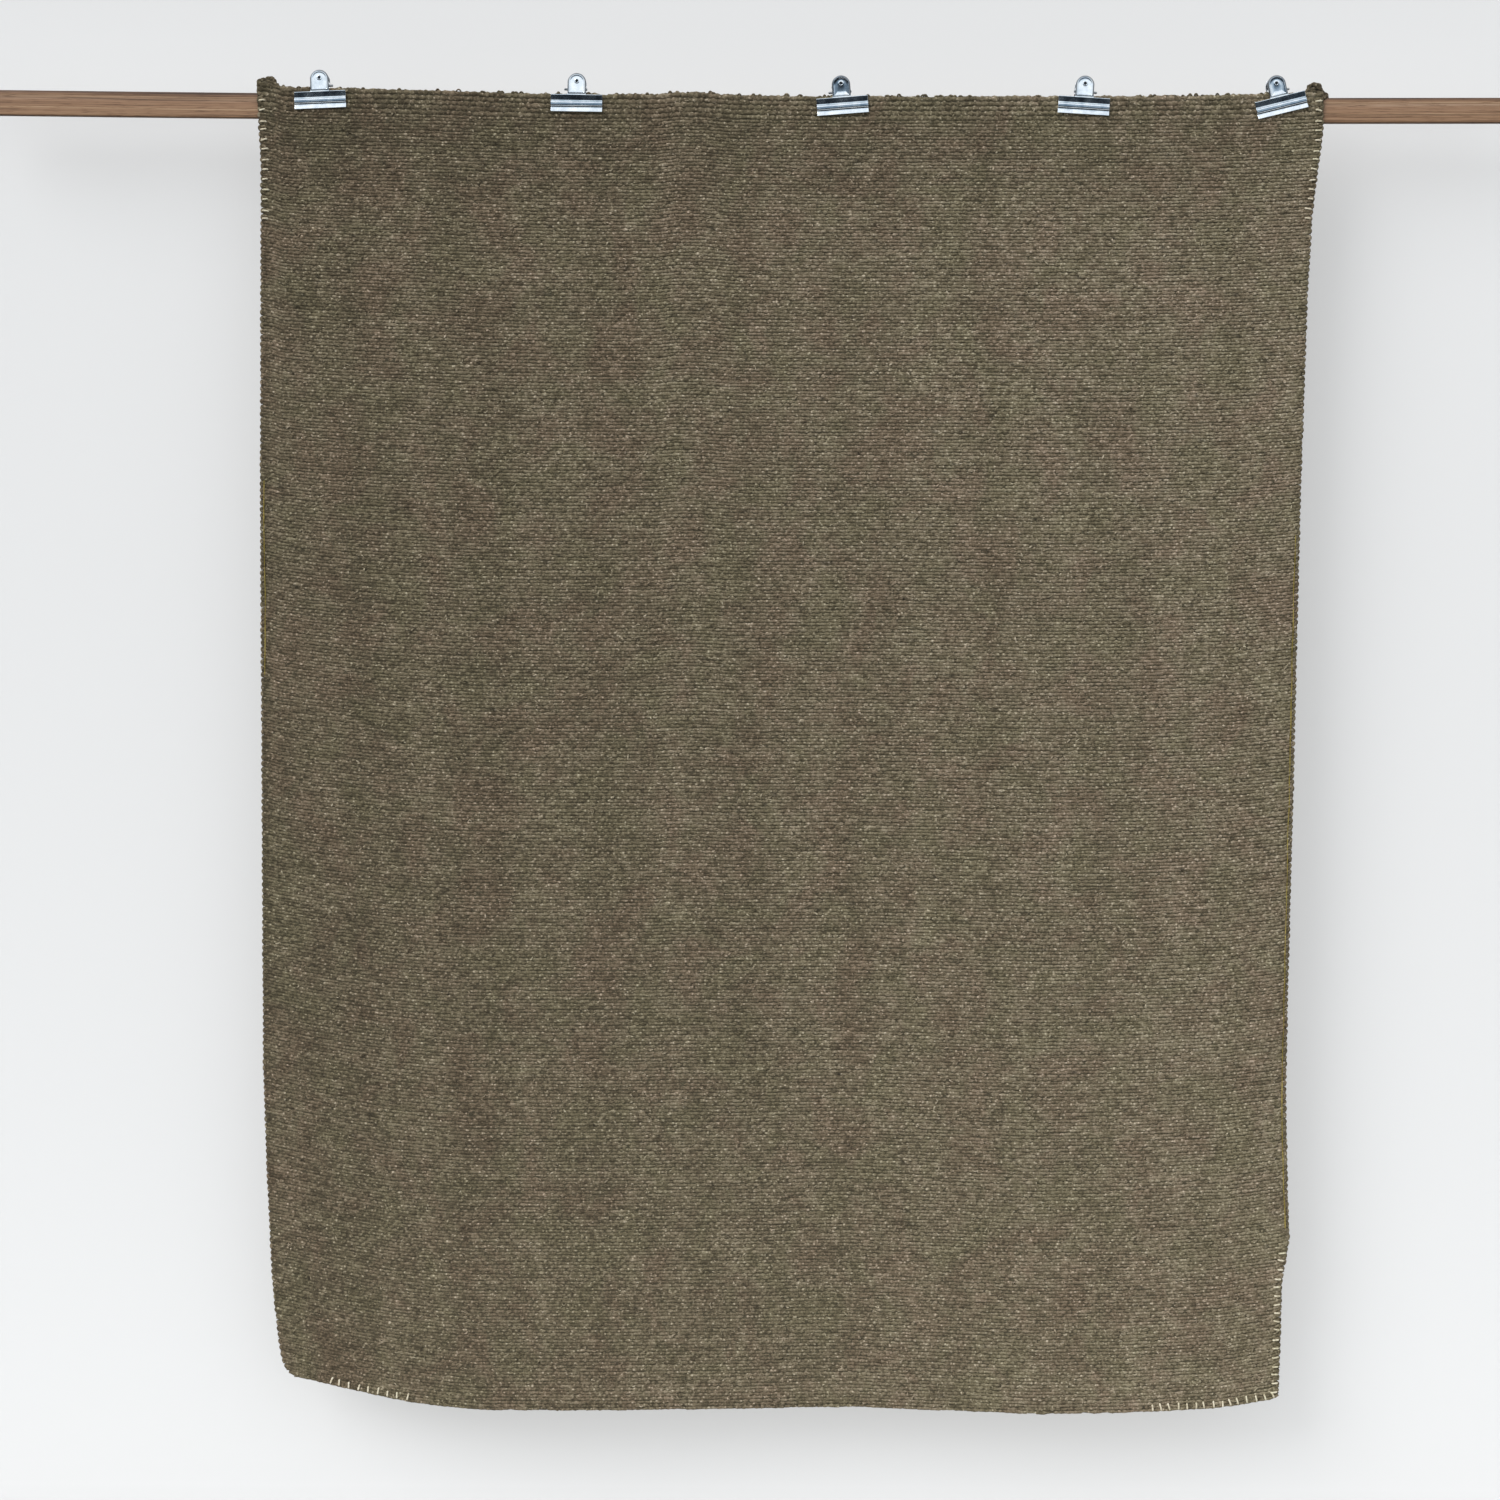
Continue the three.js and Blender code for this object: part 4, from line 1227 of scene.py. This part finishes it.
# %% Softwood material
def softwood():
    """Fine dark lines and short flecks, both drawn out along the batten, over broad bands that go from
    its lower edge to its upper one and wander a little on the way."""
    material, tree, shader, place = new_material("planed pine with darker arrises", 0.55)
    height = attribute(tree, "height")
    parts = add(tree, "ShaderNodeSeparateXYZ", {0: place}).node.outputs
    grain = noise(tree, add(tree, "ShaderNodeCombineXYZ", {
        "X": calculated(tree, "MULTIPLY", parts["X"], 0.006),
        "Y": calculated(tree, "MULTIPLY", parts["Y"], 0.6),
        "Z": calculated(tree, "MULTIPLY", height, BATTEN_HEIGHT),
    }), 1.9 * MM, 4.0, 0.62)
    drawn_out = add(tree, "ShaderNodeMapping", {"Vector": place, "Scale": (0.03, 1.0, 1.0)})
    streaks = noise(tree, drawn_out, 1.1 * MM, 3.0, 0.7)
    shift = rescaled(tree, noise(tree, place, 300 * MM, 2.0), (0.3, 0.7), (-0.04, 0.04))
    bands = ramp(
        tree, calculated(tree, "ADD", height, shift),
        (0.0, "#856952"), (0.06, "#a08062"), (0.28, "#9d7c5f"), (0.34, "#b6997b"), (0.37, "#9d7c5f"),
        (0.62, "#9e7d62"), (0.70, "#ab8f77"), (0.80, "#ad9074"), (0.86, "#9a795c"), (0.93, "#775b48"),
        (1.0, "#604a39"),
    )
    lines = ramp(tree, grain, (0.36, "#97887a"), (0.45, "#e2d9cf"), (0.54, "#fbf8f4"), (0.7, "#ffffff"))
    flecks = ramp(tree, streaks, (0.34, "#a08c78"), (0.44, "#f2ece5"), (0.7, "#ffffff"))
    fill(tree, shader, {
        "Base Color": laid_over(tree, laid_over(tree, bands, lines), flecks),
        "Roughness": rescaled(tree, grain, (0.0, 1.0), (0.62, 0.46)),
        "Normal": bump(tree, grain, 0.35, 0.25 * MM),
    })
    return material


rings, height_share = batten_surface()
batten = put_piece("sagging_batten", [tubes(rings)], softwood(),
                   marks={"height": height_share.ravel()}, with_map=True)
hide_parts("hanging_batten")

# %% [markdown]

# %% [markdown]
# ## Floor and light
#
# A plain studio is the stage: a pale floor well below the cloth, a pale wall a hand's breadth behind
# it, thin as gauze, which only takes its soft shadow, and light that comes from everywhere but mostly
# from the upper left. Polished steel shows what is round it, so the light that the clips see is bright
# above and level with them, and dark below. The wall fades out at its edges, and is seen from its
# front only, so it neither hides nor darkens the back of the object.

# %% Floor
SQUARE = ((-1, -1), (1, -1), (1, 1), (-1, 1))
FLOOR_HALF, FLOOR_MIDDLE, FLOOR_Z = (2.2, 1.225), -0.375, -2.1


def stage_sheet(name, corners, paint):
    """One flat face, which stands round the object and is no part of it."""
    mesh = bpy.data.meshes.new(name)
    mesh.from_pydata(corners, [], [(0, 1, 2, 3)])
    mesh.materials.append(paint)
    sheet = bpy.data.objects.new(name, mesh)
    bpy.context.scene.collection.objects.link(sheet)
    return sheet


floor_paint, tree, floor_shader, _ = new_material("matt pale floor paint", 0.9)
fill(tree, floor_shader, {"Base Color": linear("#dcdcda")})
corners = [(FLOOR_HALF[0] * x, FLOOR_MIDDLE + FLOOR_HALF[1] * y, FLOOR_Z) for x, y in SQUARE]
floor = stage_sheet("floor", corners, floor_paint)

# %% Wall
WALL_Y = 0.095
WALL_HALF, WALL_FADE = 1.32, 0.2
WALL_MIDDLE = -0.78
WALL_STRENGTH = 0.55

wall_paint, tree, wall_shader, place = new_material("matt pale wall paint", 0.95)
parts = add(tree, "ShaderNodeSeparateXYZ", {"Vector": place}).node.outputs
fades = []
for part, middle in ((parts["X"], 0.0), (parts["Z"], WALL_MIDDLE)):
    from_middle = calculated(tree, "ABSOLUTE", calculated(tree, "SUBTRACT", part, middle))
    fades.append(rescaled(tree, from_middle, (WALL_HALF - WALL_FADE, WALL_HALF), (1.0, 0.0)))
behind = add(tree, "ShaderNodeNewGeometry").node.outputs["Backfacing"]
front_only = calculated(tree, "MULTIPLY_ADD", behind, -WALL_STRENGTH, WALL_STRENGTH)
fill(tree, wall_shader, {
    "Base Color": linear("#ececec"),
    "Specular IOR Level": 0.0,
    "Alpha": calculated(tree, "MULTIPLY", calculated(tree, "MULTIPLY", *fades), front_only),
})
corners = [(WALL_HALF * x, WALL_Y, WALL_MIDDLE + WALL_HALF * z) for x, z in SQUARE]
wall = stage_sheet("wall", corners, wall_paint)
for ray in ("diffuse", "glossy", "transmission", "volume_scatter", "shadow"):
    setattr(wall, f"visible_{ray}", False)

# %% World
BACKDROP = "#e8e8e8"
SKY_STRENGTH = 1.3
world = bpy.data.worlds.new("studio")
bpy.context.scene.world = world
world.use_nodes = True
tree = world.node_tree
tree.nodes.clear()
direction = add(tree, "ShaderNodeTexCoord").node.outputs["Generated"]
parts = add(tree, "ShaderNodeSeparateXYZ", {"Vector": direction}).node.outputs
sky = ramp(
    tree, rescaled(tree, parts["Z"], (-1.0, 1.0), (0.0, 1.0)),
    (0.0, "#2c2c2b"), (0.355, "#1c2024"), (0.385, "#4c5a66"), (0.415, "#90a4b5"), (0.455, "#eef3f7"),
    (0.55, "#fbfcfc"), (0.80, "#eaf0f6"), (0.93, "#ffffff"), (0.97, "#7f868c"), (1.0, "#45494d"),
)
sideways = calculated(tree, "ABSOLUTE", parts["X"])
from_front = rescaled(tree, sideways, (0.5, 0.92), (SKY_STRENGTH, 0.35 * SKY_STRENGTH))
seen = add(tree, "ShaderNodeBackground", {"Color": linear(BACKDROP), "Strength": 1.0})
lit = add(tree, "ShaderNodeBackground", {"Color": sky, "Strength": from_front})
camera_ray = add(tree, "ShaderNodeLightPath").node.outputs["Is Camera Ray"]
both = add(tree, "ShaderNodeMixShader", {0: camera_ray, 1: lit, 2: seen})
add(tree, "ShaderNodeOutputWorld", {"Surface": both})

# %% Key light
key = bpy.data.objects.new("key", bpy.data.lights.new("key", "SUN"))
key.data.energy = 1.5
key.data.angle = math.radians(38)
towards_light = Vector((-0.62, -0.66, 0.62))
key.matrix_world = towards_light.to_track_quat("Z", "Y").to_matrix().to_4x4()
bpy.context.scene.collection.objects.link(key)
bpy.context.scene.view_settings.view_transform = "Standard"
